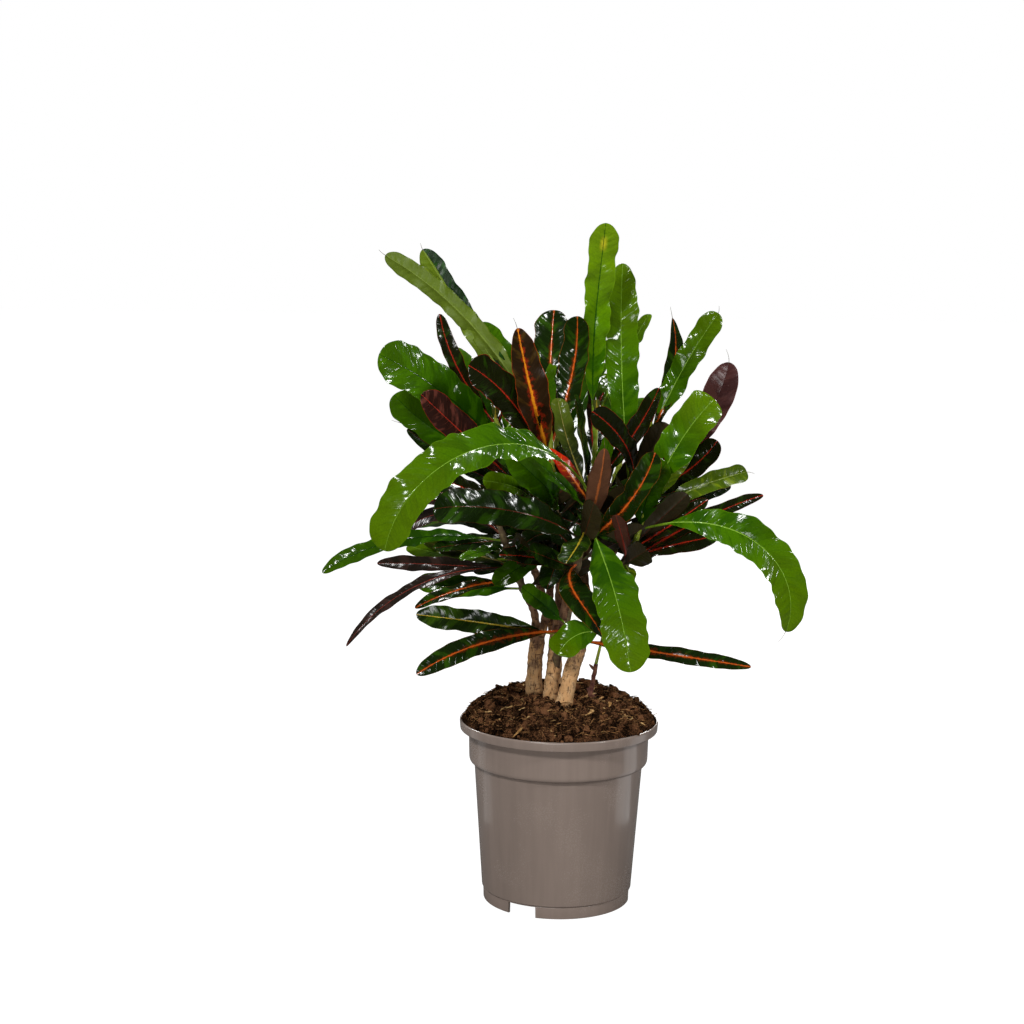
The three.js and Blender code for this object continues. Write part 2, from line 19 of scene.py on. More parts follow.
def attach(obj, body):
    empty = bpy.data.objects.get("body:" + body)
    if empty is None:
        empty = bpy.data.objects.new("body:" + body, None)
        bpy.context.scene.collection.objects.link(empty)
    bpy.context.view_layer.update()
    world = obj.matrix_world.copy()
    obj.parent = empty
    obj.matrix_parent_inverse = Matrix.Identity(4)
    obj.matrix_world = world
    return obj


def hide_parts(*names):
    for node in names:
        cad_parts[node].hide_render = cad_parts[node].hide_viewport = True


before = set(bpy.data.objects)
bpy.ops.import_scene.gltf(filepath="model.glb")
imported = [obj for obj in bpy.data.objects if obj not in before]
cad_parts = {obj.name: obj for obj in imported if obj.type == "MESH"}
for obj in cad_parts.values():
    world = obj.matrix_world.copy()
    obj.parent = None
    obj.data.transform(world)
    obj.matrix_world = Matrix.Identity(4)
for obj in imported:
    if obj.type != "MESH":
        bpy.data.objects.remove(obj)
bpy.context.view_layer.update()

LOG = logging.getLogger("croton")
MM = 0.001
BODY = "root"

Colour = tuple[float, float, float, float]
Point = tuple[float, float, float]
Socket = bpy.types.NodeSocket


def tint(red: int, green: int, blue: int) -> Colour:
    """A colour for a shader from display values.

    Each value v from 0 to 255 becomes ((v / 255 + 0.055) / 1.055) ** 2.4, or
    v / 255 / 12.92 where it is very dark.

    Args:
        red: Display red, 0 to 255.
        green: Display green, 0 to 255.
        blue: Display blue, 0 to 255.

    Returns:
        The linear colour with alpha 1.
    """
    shown = np.array([red, green, blue]) / 255
    linear = np.where(shown <= 0.04045, shown / 12.92, ((shown + 0.055) / 1.055) ** 2.4)
    return (float(linear[0]), float(linear[1]), float(linear[2]), 1.0)


# --------------------------------------------------------------------- plants
class Kind(Enum):
    """The kinds of leaf, which set the shape of the blade."""

    LIME = "lime"
    BROAD = "broad"
    GREEN = "green"
    DARK = "dark"
    BRONZE = "bronze"
    MAROON = "maroon"
    EMBER = "ember"


class Look(Enum):
    """The finishes of leaves, by their colours."""

    LIME = "lime"
    FRESH = "fresh"
    PALE = "pale"
    SPLIT = "split"
    GREEN = "green"
    DARK = "dark"
    ORANGE_RIB = "orange_rib"
    RED_RIB = "red_rib"
    YELLOW_RIB = "yellow_rib"
    BRONZE = "bronze"
    RUSSET = "russet"
    OLIVE = "olive"
    MAROON = "maroon"
    MAUVE = "mauve"
    PURPLE = "purple"
    EMBER = "ember"


@dataclass(frozen=True)
class BladeShape:
    """The shape that leaves of one kind share.

    petiole is its share of the leaf's length, wave the height of the margin's
    waves in mm, full the share of the blade where it reaches its full width,
    and round the share where the tip starts to round off. lobe is how far the
    margin swings in and out, as a share of the half width, and pucker the
    height in mm of the bulges between the side veins.
    """

    petiole: float
    wave: float
    full: float
    round: float
    lobe: float
    pucker: float
    look: Look


BLADES: dict[Kind, BladeShape] = {
    Kind.LIME: BladeShape(0.2, 2.2, 0.35, 0.89, 0.04, 0.7, Look.LIME),
    Kind.BROAD: BladeShape(0.13, 1.6, 0.45, 0.86, 0.04, 0.7, Look.GREEN),
    Kind.GREEN: BladeShape(0.13, 1.6, 0.45, 0.76, 0.05, 0.45, Look.GREEN),
    Kind.DARK: BladeShape(0.1, 1.2, 0.55, 0.68, 0.03, 0.3, Look.DARK),
    Kind.BRONZE: BladeShape(0.1, 1, 0.5, 0.55, 0.03, 0.3, Look.BRONZE),
    Kind.MAROON: BladeShape(0.08, 0.8, 0.6, 0.78, 0.02, 0.3, Look.MAROON),
    Kind.EMBER: BladeShape(0.08, 1, 0.5, 0.6, 0.03, 0.4, Look.EMBER),
}


@dataclass(frozen=True)
class Leaf:
    """One leaf, in the same numbers as the solids.

    station is its share of the stem's path, heading is 0 along +X and 90 along
    +Y, rise is the slope of the petiole, droop and sway are the change of slope
    and heading along the leaf, and roll turns the blade about its midrib.
    Angles are in degrees, length and width in mm.
    """

    kind: Kind
    station: float
    heading: float
    rise: float
    droop: float
    sway: float
    length: float
    width: float
    roll: float
    own_look: Look | None = None

    @property
    def look(self) -> Look:
        """The leaf's finish: its own, or its kind's."""
        return self.own_look or BLADES[self.kind].look


@dataclass(frozen=True)
class ShootPlan:
    """A leafy shoot: its stem's path, where its young stem starts, its leaves."""

    path: tuple[Point, Point, Point]
    leaves: tuple[Leaf, ...]
    split: float = 1.0
    radius: float = 2.9


@dataclass(frozen=True)
class TrunkPlan:
    """A woody trunk: its radius, its route and the root of each branch."""

    radius: float
    route: tuple[Point, ...]
    branches: dict[str, Point]


TRUNKS: dict[str, TrunkPlan] = {
    "trunk_left": TrunkPlan(
        6.5,
        ((-21, -10, 140), (-21, -10, 172), (-21, -11, 198), (-19, -10, 222)),
        {"left_low": (-22, -14, 206), "left_high": (-19, -6, 208)},
    ),
    "trunk_middle": TrunkPlan(
        5.6,
        ((-8, -25, 140), (-8, -25, 172), (-6, -22, 198), (-3, -20, 224)),
        {"front": (-1, -22, 212), "centre": (-5, -19, 212), "low": (-4, -23, 200)},
    ),
    "trunk_right": TrunkPlan(
        6.3,
        ((-2, -42, 140), (3, -38, 172), (12, -29, 210), (28, -14, 250)),
        {
            "right_front": (26, -16, 240),
            "right_back": (25, -16, 238),
            "centre_back": (24, -16, 236),
        },
    ),
    "trunk_back": TrunkPlan(
        5.8,
        ((-4, 26, 140), (-4, 27, 172), (-3, 29, 200), (-2, 31, 226)),
        {
            "back_left": (-3, 31, 212),
            "back_mid": (-3, 31, 214),
            "back_right": (-2, 31, 212),
        },
    ),
    "twig_right": TrunkPlan(
        1.8,
        ((20, -18, 145), (24, -20, 172), (29, -24, 204)),
        {},
    ),
}

SHOOTS: dict[str, ShootPlan] = {
    "left_low": ShootPlan(
        path=((-30, -20, 262), (-45, -25, 300), (-58, -30, 338)),
        leaves=(
            Leaf(Kind.GREEN, 0.04, 178, 0, -8, 15, 88, 21, 50),
            Leaf(Kind.DARK, 0.14, 220, 2, 25, -10, 102, 13, 30, Look.ORANGE_RIB),
            Leaf(Kind.BRONZE, 0.26, 228, 9, 65, -30, 175, 11, 30, Look.PURPLE),
            Leaf(Kind.DARK, 0.24, 195, 7, 6, 0, 115, 14, 50, Look.PURPLE),
            Leaf(Kind.BRONZE, 0.3, 157, 10, 2, 0, 82, 15, 50, Look.OLIVE),
            Leaf(Kind.BROAD, 0.36, 145, -5, -15, 5, 104, 18, 35, Look.LIME),
            Leaf(Kind.GREEN, 0.42, 260, 18, 35, -40, 80, 11, 25),
            Leaf(Kind.GREEN, 0.56, 152, 4, 38, 45, 160, 16, 45),
            Leaf(Kind.MAROON, 0.62, 130, 25, 70, 40, 105, 16, 50, Look.PURPLE),
        ),
    ),
    "left_high": ShootPlan(
        path=((-20, 8, 296), (-38, 12, 350), (-56, 10, 402)),
        split=0.58,
        leaves=(
            Leaf(Kind.DARK, 0.06, 195, -2, 6, 0, 86, 20, 30),
            Leaf(Kind.DARK, 0.14, 285, -5, 20, 0, 56, 18, 30),
            Leaf(Kind.DARK, 0.18, 170, 20, 15, 0, 105, 20, 40),
            Leaf(Kind.DARK, 0.3, 215, 15, -10, 0, 95, 20, 50, Look.RED_RIB),
            Leaf(Kind.DARK, 0.4, 175, 22, -16, 0, 108, 16, 50),
            Leaf(Kind.MAROON, 0.46, 220, 38, 0, 0, 128, 28, 80),
            Leaf(Kind.BROAD, 0.62, 177, 18, -30, 0, 114, 30, 55),
            Leaf(Kind.BROAD, 0.7, 203, 46, 22, -12, 138, 38, 70),
            Leaf(Kind.DARK, 0.9, 190, 50, -30, -15, 108, 15, 60, Look.RED_RIB),
            Leaf(Kind.LIME, 0.22, 287, 33, 26, -82, 102, 16, 75),
        ),
    ),
    "centre": ShootPlan(
        path=((-4, -6, 296), (-8, -4, 350), (-12, 0, 402)),
        split=0.56,
        leaves=(
            Leaf(Kind.DARK, 0.05, 310, 42, 10, 0, 54, 13, -30),
            Leaf(Kind.DARK, 0.12, 245, 8, 30, 0, 72, 18, 20),
            Leaf(Kind.GREEN, 0.28, 283, 23, -22, -84, 110, 26, 95),
            Leaf(Kind.DARK, 0.2, 210, 20, 10, 0, 76, 20, 50),
            Leaf(Kind.DARK, 0.48, 203, 33, 10, 0, 62, 20, 60),
            Leaf(Kind.BRONZE, 0.6, 212, 70, -5, 10, 122, 32, 90),
            Leaf(Kind.BROAD, 0.66, 103, 68, -6, -30, 130, 29, 0, Look.ORANGE_RIB),
            Leaf(Kind.LIME, 0.74, 168, 56, 0, 0, 196, 18, -90, Look.SPLIT),
            Leaf(Kind.BROAD, 0.78, 55, 60, -35, -25, 112, 26, -20, Look.ORANGE_RIB),
            Leaf(Kind.LIME, 0.82, 168, 60, 32, 8, 206, 17, -85, Look.PALE),
            Leaf(Kind.GREEN, 0.88, 143, 52, 5, 0, 115, 24, 30),
            Leaf(Kind.BROAD, 0.94, 100, 60, 0, 0, 80, 18, 0, Look.LIME),
            Leaf(Kind.BROAD, 0.57, 205, 64, 40, 13, 124, 29, 85, Look.RED_RIB),
            Leaf(Kind.GREEN, 0.02, 225, -15, 10, 0, 75, 20, 30),
            Leaf(Kind.DARK, 0.08, 278, -26, 23, -37, 60, 22, -10),
        ),
    ),
    "centre_back": ShootPlan(
        path=((22, 10, 306), (26, 22, 355), (28, 28, 408)),
        split=0.56,
        leaves=(
            Leaf(Kind.DARK, 0.1, 268, 25, 30, 0, 34, 14, 30),
            Leaf(Kind.DARK, 0.3, 235, 72, 0, 0, 92, 25, 70),
            Leaf(Kind.DARK, 0.32, 330, 18, 20, 0, 70, 20, -40),
            Leaf(Kind.DARK, 0.4, 339, 49, -18, -2, 101, 20, -65, Look.RED_RIB),
            Leaf(Kind.MAROON, 0.6, 105, 70, -12, -30, 100, 13, 60),
            Leaf(Kind.LIME, 0.7, 138, 83, -36, -42, 190, 24, 0, Look.FRESH),
            Leaf(Kind.LIME, 0.93, 40, 58, 10, 8, 106, 14, 0),
            Leaf(Kind.GREEN, 0.1, 330, 76, 0, 0, 78, 16, -70),
            Leaf(Kind.DARK, 0.15, 180, 50, -20, 0, 56, 24, 70),
        ),
    ),
    "front": ShootPlan(
        path=((10, -38, 282), (17, -48, 315), (22, -54, 350)),
        split=0.45,
        leaves=(
            Leaf(Kind.DARK, 0.06, 215, 18, 15, -8, 74, 17, 40, Look.RED_RIB),
            Leaf(Kind.DARK, 0.12, 236, -15, 49, 117, 88, 24, -20, Look.ORANGE_RIB),
            Leaf(Kind.BROAD, 0.38, 247, 30, 44, -98, 146, 28, 65, Look.DARK),
            Leaf(Kind.BRONZE, 0.48, 285, 45, -30, 0, 90, 18, 0, Look.RUSSET),
            Leaf(Kind.GREEN, 0.56, 257, -20, 0, -10, 58, 20, 0, Look.YELLOW_RIB),
            Leaf(Kind.GREEN, 0.66, 300, -45, 18, -15, 135, 36, -10, Look.LIME),
            Leaf(Kind.GREEN, 0.76, 221, 42, 10, -10, 82, 14, 60),
            Leaf(Kind.EMBER, 0.84, 178, 58, 15, 0, 56, 15, 40),
            Leaf(Kind.LIME, 0.9, 134, 54, -15, -15, 90, 17, 0, Look.OLIVE),
            Leaf(Kind.LIME, 0.94, 242, 40, 120, -48, 256, 36, 40),
            Leaf(Kind.BROAD, 0.35, 340, 38, -37, 1, 99, 22, -70, Look.ORANGE_RIB),
        ),
    ),
    "right_front": ShootPlan(
        path=((48, -28, 284), (63, -34, 320), (74, -38, 362)),
        split=0.28,
        leaves=(
            Leaf(Kind.GREEN, 0.04, 290, 5, 110, -50, 46, 13, 0, Look.PALE),
            Leaf(Kind.DARK, 0.06, 2, 33, 16, 5, 126, 13, -50, Look.RED_RIB),
            Leaf(Kind.MAROON, 0.1, 265, 40, -10, -20, 62, 12, 0),
            Leaf(Kind.DARK, 0.14, 5, 16, 8, 5, 76, 18, -60, Look.RED_RIB),
            Leaf(Kind.DARK, 0.22, 349, 34, -4, 0, 75, 15, -55, Look.RED_RIB),
            Leaf(Kind.BROAD, 0.38, 325, 79, 29, 1, 68, 24, -85),
            Leaf(Kind.GREEN, 0.46, 331, 18, 128, 36, 180, 31, -65, Look.LIME),
            Leaf(Kind.LIME, 0.66, 17, 23, 16, 15, 97, 16, -60, Look.PALE),
            Leaf(Kind.LIME, 0.75, 350, 68, 22, 10, 97, 32, -65),
            Leaf(Kind.LIME, 0.6, 35, 50, -7, 4, 96, 16, -40, Look.PALE),
        ),
    ),
    "right_back": ShootPlan(
        path=((46, 12, 300), (62, 28, 350), (74, 36, 398)),
        split=0.56,
        leaves=(
            Leaf(Kind.DARK, 0.06, 258, 10, 20, 0, 60, 18, 20),
            Leaf(Kind.DARK, 0.14, 350, 25, 10, 0, 95, 18, -50),
            Leaf(Kind.DARK, 0.24, 238, 30, 20, 0, 58, 18, 20),
            Leaf(Kind.GREEN, 0.34, 137, 81, 2, -60, 197, 28, 0, Look.LIME),
            Leaf(Kind.BROAD, 0.36, 327, 19, -37, 7, 94, 20, -85, Look.RED_RIB),
            Leaf(Kind.MAROON, 0.5, 347, 34, -48, 9, 128, 27, -75, Look.MAUVE),
            Leaf(Kind.BROAD, 0.4, 275, 48, 17, -65, 110, 20, 100, Look.RED_RIB),
            Leaf(Kind.DARK, 0.68, 330, 68, 0, 150, 125, 16, -30, Look.ORANGE_RIB),
            Leaf(Kind.LIME, 0.76, 352, 68, 13, 0, 128, 21, -70),
            Leaf(Kind.DARK, 0.42, 320, 60, 0, 0, 66, 26, 70),
            Leaf(Kind.DARK, 0.1, 0, 15, 0, 0, 48, 26, -35),
        ),
    ),
    "low": ShootPlan(
        path=((0, -30, 222), (5, -36, 240), (8, -40, 258)),
        radius=2,
        leaves=(
            Leaf(Kind.DARK, 0.32, 196, -1, 32, 0, 129, 18, 65, Look.ORANGE_RIB),
            Leaf(Kind.GREEN, 0.2, 182, 9, 3, 0, 121, 19, 75, Look.YELLOW_RIB),
            Leaf(Kind.DARK, 0.14, 354, -7, 0, 0, 153, 13, -60, Look.ORANGE_RIB),
            Leaf(Kind.GREEN, 0.45, 212, 40, 5, 0, 56, 16, 80),
        ),
    ),
    "twig": ShootPlan(
        path=((29, -24, 204.3), (32, -24, 218), (36, -26, 236)),
        radius=1.4,
        leaves=(
            Leaf(Kind.BROAD, 0.85, 222, 15, 70, 0, 56, 24, 50, Look.LIME),
        ),
    ),
    "back_left": ShootPlan(
        path=((-30, 36, 292), (-46, 48, 340), (-56, 56, 388)),
        split=0.5,
        leaves=(
            Leaf(Kind.DARK, 0.1, 150, 10, 30, 0, 105, 19, 20),
            Leaf(Kind.DARK, 0.18, 104, 24, 34, 0, 126, 22, 0),
            Leaf(Kind.MAROON, 0.28, 200, 15, 20, 0, 95, 18, 20),
            Leaf(Kind.DARK, 0.36, 125, 30, 20, 0, 100, 22, 0),
            Leaf(Kind.DARK, 0.44, 75, 40, 10, 0, 90, 22, 0),
            Leaf(Kind.GREEN, 0.56, 170, 35, 20, 0, 100, 24, 20),
            Leaf(Kind.GREEN, 0.66, 110, 45, 30, 0, 100, 24, 0),
            Leaf(Kind.LIME, 0.78, 60, 60, 20, 0, 100, 22, 0),
            Leaf(Kind.GREEN, 0.88, 140, 65, 20, 0, 95, 24, 0),
        ),
    ),
    "back_mid": ShootPlan(
        path=((-2, 36, 290), (-4, 50, 340), (-4, 60, 392)),
        split=0.5,
        leaves=(
            Leaf(Kind.DARK, 0.1, 94, 16, 34, 0, 158, 26, 0),
            Leaf(Kind.DARK, 0.22, 50, 25, 20, 0, 75, 20, 0),
            Leaf(Kind.BRONZE, 0.32, 130, 30, 10, 0, 75, 20, 0),
            Leaf(Kind.DARK, 0.42, 80, 40, 10, 0, 80, 22, 0),
            Leaf(Kind.GREEN, 0.58, 115, 50, 30, 0, 90, 24, 0),
            Leaf(Kind.GREEN, 0.7, 45, 60, 10, 0, 100, 24, 0),
            Leaf(Kind.LIME, 0.82, 92, 48, 95, 0, 160, 30, 0),
            Leaf(Kind.GREEN, 0.92, 150, 75, 0, 0, 80, 22, 0),
            Leaf(Kind.DARK, 0.05, 205, -8, 20, 0, 80, 26, 30),
            Leaf(Kind.DARK, 0.42, 320, -35, 0, 0, 66, 26, -35),
        ),
    ),
    "back_right": ShootPlan(
        path=((26, 40, 296), (44, 52, 344), (58, 58, 392)),
        split=0.5,
        leaves=(
            Leaf(Kind.DARK, 0.08, 40, 5, 25, 0, 105, 18, 0),
            Leaf(Kind.DARK, 0.16, 84, 18, 30, 0, 122, 24, 0),
            Leaf(Kind.DARK, 0.26, 5, 15, 15, 0, 105, 18, -20),
            Leaf(Kind.MAROON, 0.36, 60, 30, 20, 0, 95, 20, 0),
            Leaf(Kind.DARK, 0.44, 100, 40, 10, 0, 80, 22, 0),
            Leaf(Kind.GREEN, 0.56, 20, 35, 20, 0, 100, 24, -10),
            Leaf(Kind.GREEN, 0.66, 70, 45, 30, 0, 95, 24, 0),
            Leaf(Kind.LIME, 0.78, 110, 55, 20, 0, 85, 22, 0),
            Leaf(Kind.GREEN, 0.88, 40, 45, 20, 0, 80, 24, 0),
            Leaf(Kind.DARK, 0.1, 320, -10, 0, 0, 66, 26, -70),
        ),
    ),
}


# ------------------------------------------------------------------- surfaces
def eased(values: np.ndarray, low: float, high: float) -> np.ndarray:
    """0 below low, 1 above high and 3 t^2 - 2 t^3 between, t the share of the way."""
    share = np.clip((values - low) / (high - low), 0, 1)
    return share * share * (3 - 2 * share)


def unit(vectors: np.ndarray) -> np.ndarray:
    """Each vector divided by its length."""
    return vectors / np.maximum(np.linalg.norm(vectors, axis=-1, keepdims=True), 1e-9)


def quadratic(path: tuple[Point, Point, Point], shares: np.ndarray) -> np.ndarray:
    """The smooth stem through three points, the middle one halfway along.

    With t the share, the point is (1 - t)^2 start + 2 t (1 - t) bend + t^2 end,
    where bend = 2 middle - start / 2 - end / 2.

    Args:
        path: The start, middle and end.
        shares: Shares of the path, each from 0 to 1.

    Returns:
        One point for each share.
    """
    start, middle, end = (np.array(point, float) for point in path)
    bend = 2 * middle - start / 2 - end / 2
    t = np.asarray(shares, float)[..., None]
    return (1 - t) ** 2 * start + 2 * t * (1 - t) * bend + t**2 * end


def spline(route: np.ndarray, count: int) -> np.ndarray:
    """A smooth line through every point of a route.

    Between points b and c, with a before and d after, the point at share t is
    b + t (c - a) / 2 + t^2 (2a - 5b + 4c - d) / 2 + t^3 (3b - a - 3c + d) / 2.
    The route is mirrored past its two ends.

    Args:
        route: The points to pass through.
        count: How many points to give back.

    Returns:
        count points, evenly shared among the spans.
    """
    points = np.asarray(route, float)
    padded = np.vstack([2 * points[0] - points[1], points, 2 * points[-1] - points[-2]])
    place = np.linspace(0, len(points) - 1, count)
    span = np.minimum(place.astype(int), len(points) - 2)
    t = (place - span)[:, None]
    a, b, c, d = (padded[span + offset] for offset in range(4))
    linear = t * (c - a) / 2
    square = t**2 * (2 * a - 5 * b + 4 * c - d) / 2
    cube = t**3 * (3 * b - a - 3 * c + d) / 2
    return b + linear + square + cube


def ripples(points: np.ndarray, size: float, seed: int, waves: int = 14) -> np.ndarray:
    """Smooth unevenness in space: a mean of sine waves in seeded directions.

    Each wave is sin(direction . point + phase), with lengths of 0.6 to 1.6
    times size.

    Args:
        points: Where to read it, in mm.
        size: The typical wave length, in mm.
        seed: The draw of directions and phases.
        waves: How many waves are added.

    Returns:
        Values of about -1 to 1, one for each point.
    """
    draw = np.random.default_rng(seed)
    ways = unit(draw.normal(size=(waves, 3))) * 2 * np.pi
    ways /= size * draw.uniform(0.6, 1.6, (waves, 1))
    phases = draw.uniform(0, 2 * np.pi, waves)
    return np.sin(points @ ways.T + phases).sum(-1) / np.sqrt(waves)


@dataclass
class Surface:
    """A closed mesh in mm, and what its finish reads on each point.

    place holds lengths in mm: across, along, and 1 on an upper face or 0 on a
    lower one. share holds the same across and along as shares, and a tone from
    0 to 1 that differs from one leaf or crumb to the next.
    """

    points: np.ndarray
    faces: list[np.ndarray]
    place: np.ndarray
    share: np.ndarray


def grid_faces(numbers: np.ndarray) -> np.ndarray:
    """Quads over a grid of point numbers, rows first.

    Args:
        numbers: The point number at each row and column.

    Returns:
        One quad for each cell, turning from a column to the next, then up a row.
    """
    first, right = numbers[:-1, :-1], numbers[:-1, 1:]
    up, across = numbers[1:, :-1], numbers[1:, 1:]
    return np.stack([first, right, across, up], -1).reshape(-1, 4)


def round_angles(count: int) -> np.ndarray:
    """Even angles once round, from 0."""
    return np.arange(count) * 2 * np.pi / count


def level_ways(angles: np.ndarray) -> np.ndarray:
    """The level unit vector at each angle, 0 along +X."""
    return np.stack([np.cos(angles), np.sin(angles), np.zeros_like(angles)], -1)


def ring_faces(numbers: np.ndarray, ends: tuple[int, int]) -> list[np.ndarray]:
    """The faces of closed rings: quads between them and a fan over each end.

    Args:
        numbers: The point number at each ring and side.
        ends: The points in the middle of the first and of the last fan.

    Returns:
        The quads, and the triangles of both fans.
    """
    closed = np.concatenate([numbers, numbers[:, :1]], 1)
    first, last = closed[0], closed[-1]
    low, high = (np.full(numbers.shape[1], end) for end in ends)
    fans = [np.stack([first[1:], first[:-1], low], -1), np.stack([last[:-1], last[1:], high], -1)]
    return [grid_faces(closed), np.vstack(fans)]


def tube(
    path: np.ndarray,
    radii: np.ndarray,
    sides: int,
    tone: float = 0.5,
    squash: float = 1.0,
    across: Point = (1.0, 0.0, 0.0),
) -> Surface:
    """A closed round rod along a path.

    The ring at each point is path + r cos(a) s + r squash sin(a) w, where s and
    w are square to the path's direction and s lies as near as it can to across.
    The two ends are closed by fans.

    Args:
        path: The centre line, in mm.
        radii: The radius at each point, or at each point and side.
        sides: How many points each ring has.
        tone: The tone that its finish reads.
        squash: The section's height over its width.
        across: The way that the section's width lies, not along the path.

    Returns:
        The closed surface.
    """
    ahead = unit(np.gradient(path, axis=0))
    side = unit(np.cross(np.cross(ahead, np.array(across)), ahead))
    up = np.cross(ahead, side)
    angles = round_angles(sides)
    ring = np.broadcast_to(np.asarray(radii, float).reshape(len(path), -1), (len(path), sides))
    wide = ring[..., None] * np.cos(angles)[None, :, None] * side[:, None, :]
    high = ring[..., None] * np.sin(angles)[None, :, None] * up[:, None, :] * squash
    rings = path[:, None, :] + wide + high
    points = np.vstack([rings.reshape(-1, 3), path[:1], path[-1:]])
    on_rings = len(path) * sides
    faces = ring_faces(np.arange(on_rings).reshape(len(path), sides), (on_rings, on_rings + 1))
    steps = np.linalg.norm(np.diff(path, axis=0), axis=1)
    along = np.concatenate([[0], np.cumsum(steps)])
    place = np.zeros((len(points), 3))
    share = np.zeros((len(points), 3))
    place[:on_rings, 0] = (ring * angles).ravel()
    place[:, 1] = np.concatenate([np.repeat(along, sides), [0, along[-1]]])
    place[:, 2] = 1
    share[:on_rings, 0] = np.tile(angles / (2 * np.pi), len(path))
    share[:, 1] = place[:, 1] / along[-1]
    share[:, 2] = tone
    return Surface(points, faces, place, share)


def lathe(profile: np.ndarray, angles: np.ndarray, raised: np.ndarray | None = None) -> Surface:
    """A turned solid whose profile starts and ends on the axis.

    The point at height z, radius r and angle a is (r cos a, r sin a, z). In the
    columns that raised marks, no point of the foot lies below its height.

    Args:
        profile: Radius and height of each point, the first and last on the axis.
        angles: The angle of each column, rising, with no two alike.
        raised: The lowest height in each column, in mm.

    Returns:
        The closed surface.
    """
    rings, columns = profile[1:-1], len(angles)
    floor = np.full(columns, -np.inf) if raised is None else raised
    x = rings[:, :1] * np.cos(angles)
    y = rings[:, :1] * np.sin(angles)
    z = np.maximum(rings[:, 1:], floor)
    points = np.stack([x, y, z], -1).reshape(-1, 3)
    ends = np.array([[0, 0, profile[0, 1]], [0, 0, profile[-1, 1]]])
    points = np.vstack([points, ends])
    on_rings = len(rings) * columns
    faces = ring_faces(np.arange(on_rings).reshape(len(rings), columns), (on_rings, on_rings + 1))
    place = np.zeros((len(points), 3))
    place[:, 1] = points[:, 2]
    place[:, 2] = 1
    share = np.full((len(points), 3), 0.5)
    return Surface(points, faces, place, share)


def copies(
    shape: np.ndarray,
    faces: np.ndarray,
    turns: np.ndarray,
    places: np.ndarray,
    tones: np.ndarray,
) -> Surface:
    """Many copies of one small shape, each turned, scaled and placed.

    Point j of copy i is turns[i] . shape[i, j] + places[i].

    Args:
        shape: The points of each copy before it is turned, copies x points x 3.
        faces: The faces of one copy.
        turns: A 3 x 3 matrix for each copy.
        places: Where each copy goes, in mm.
        tones: The tone of each copy.

    Returns:
        All copies as one surface.
    """
    points = np.einsum("nij,npj->npi", turns, shape) + places[:, None, :]
    each = shape.shape[1]
    starts = np.arange(len(places)) * each
    all_faces = (faces[None, :, :] + starts[:, None, None]).reshape(-1, faces.shape[1])
    place = np.ones((len(places) * each, 3))
    share = np.full((len(places) * each, 3), 0.5)
    share[:, 2] = np.repeat(tones, each)
    return Surface(points.reshape(-1, 3), [all_faces], place, share)


def random_turns(draw: np.random.Generator, count: int) -> np.ndarray:
    """Even random rotations: the first two columns of random vectors, made square.

    Args:
        draw: The seeded generator.
        count: How many rotations.

    Returns:
        count matrices, 3 x 3 each.
    """
    first = unit(draw.normal(size=(count, 3)))
    second = unit(np.cross(first, draw.normal(size=(count, 3))))
    return np.stack([first, second, np.cross(first, second)], -1)


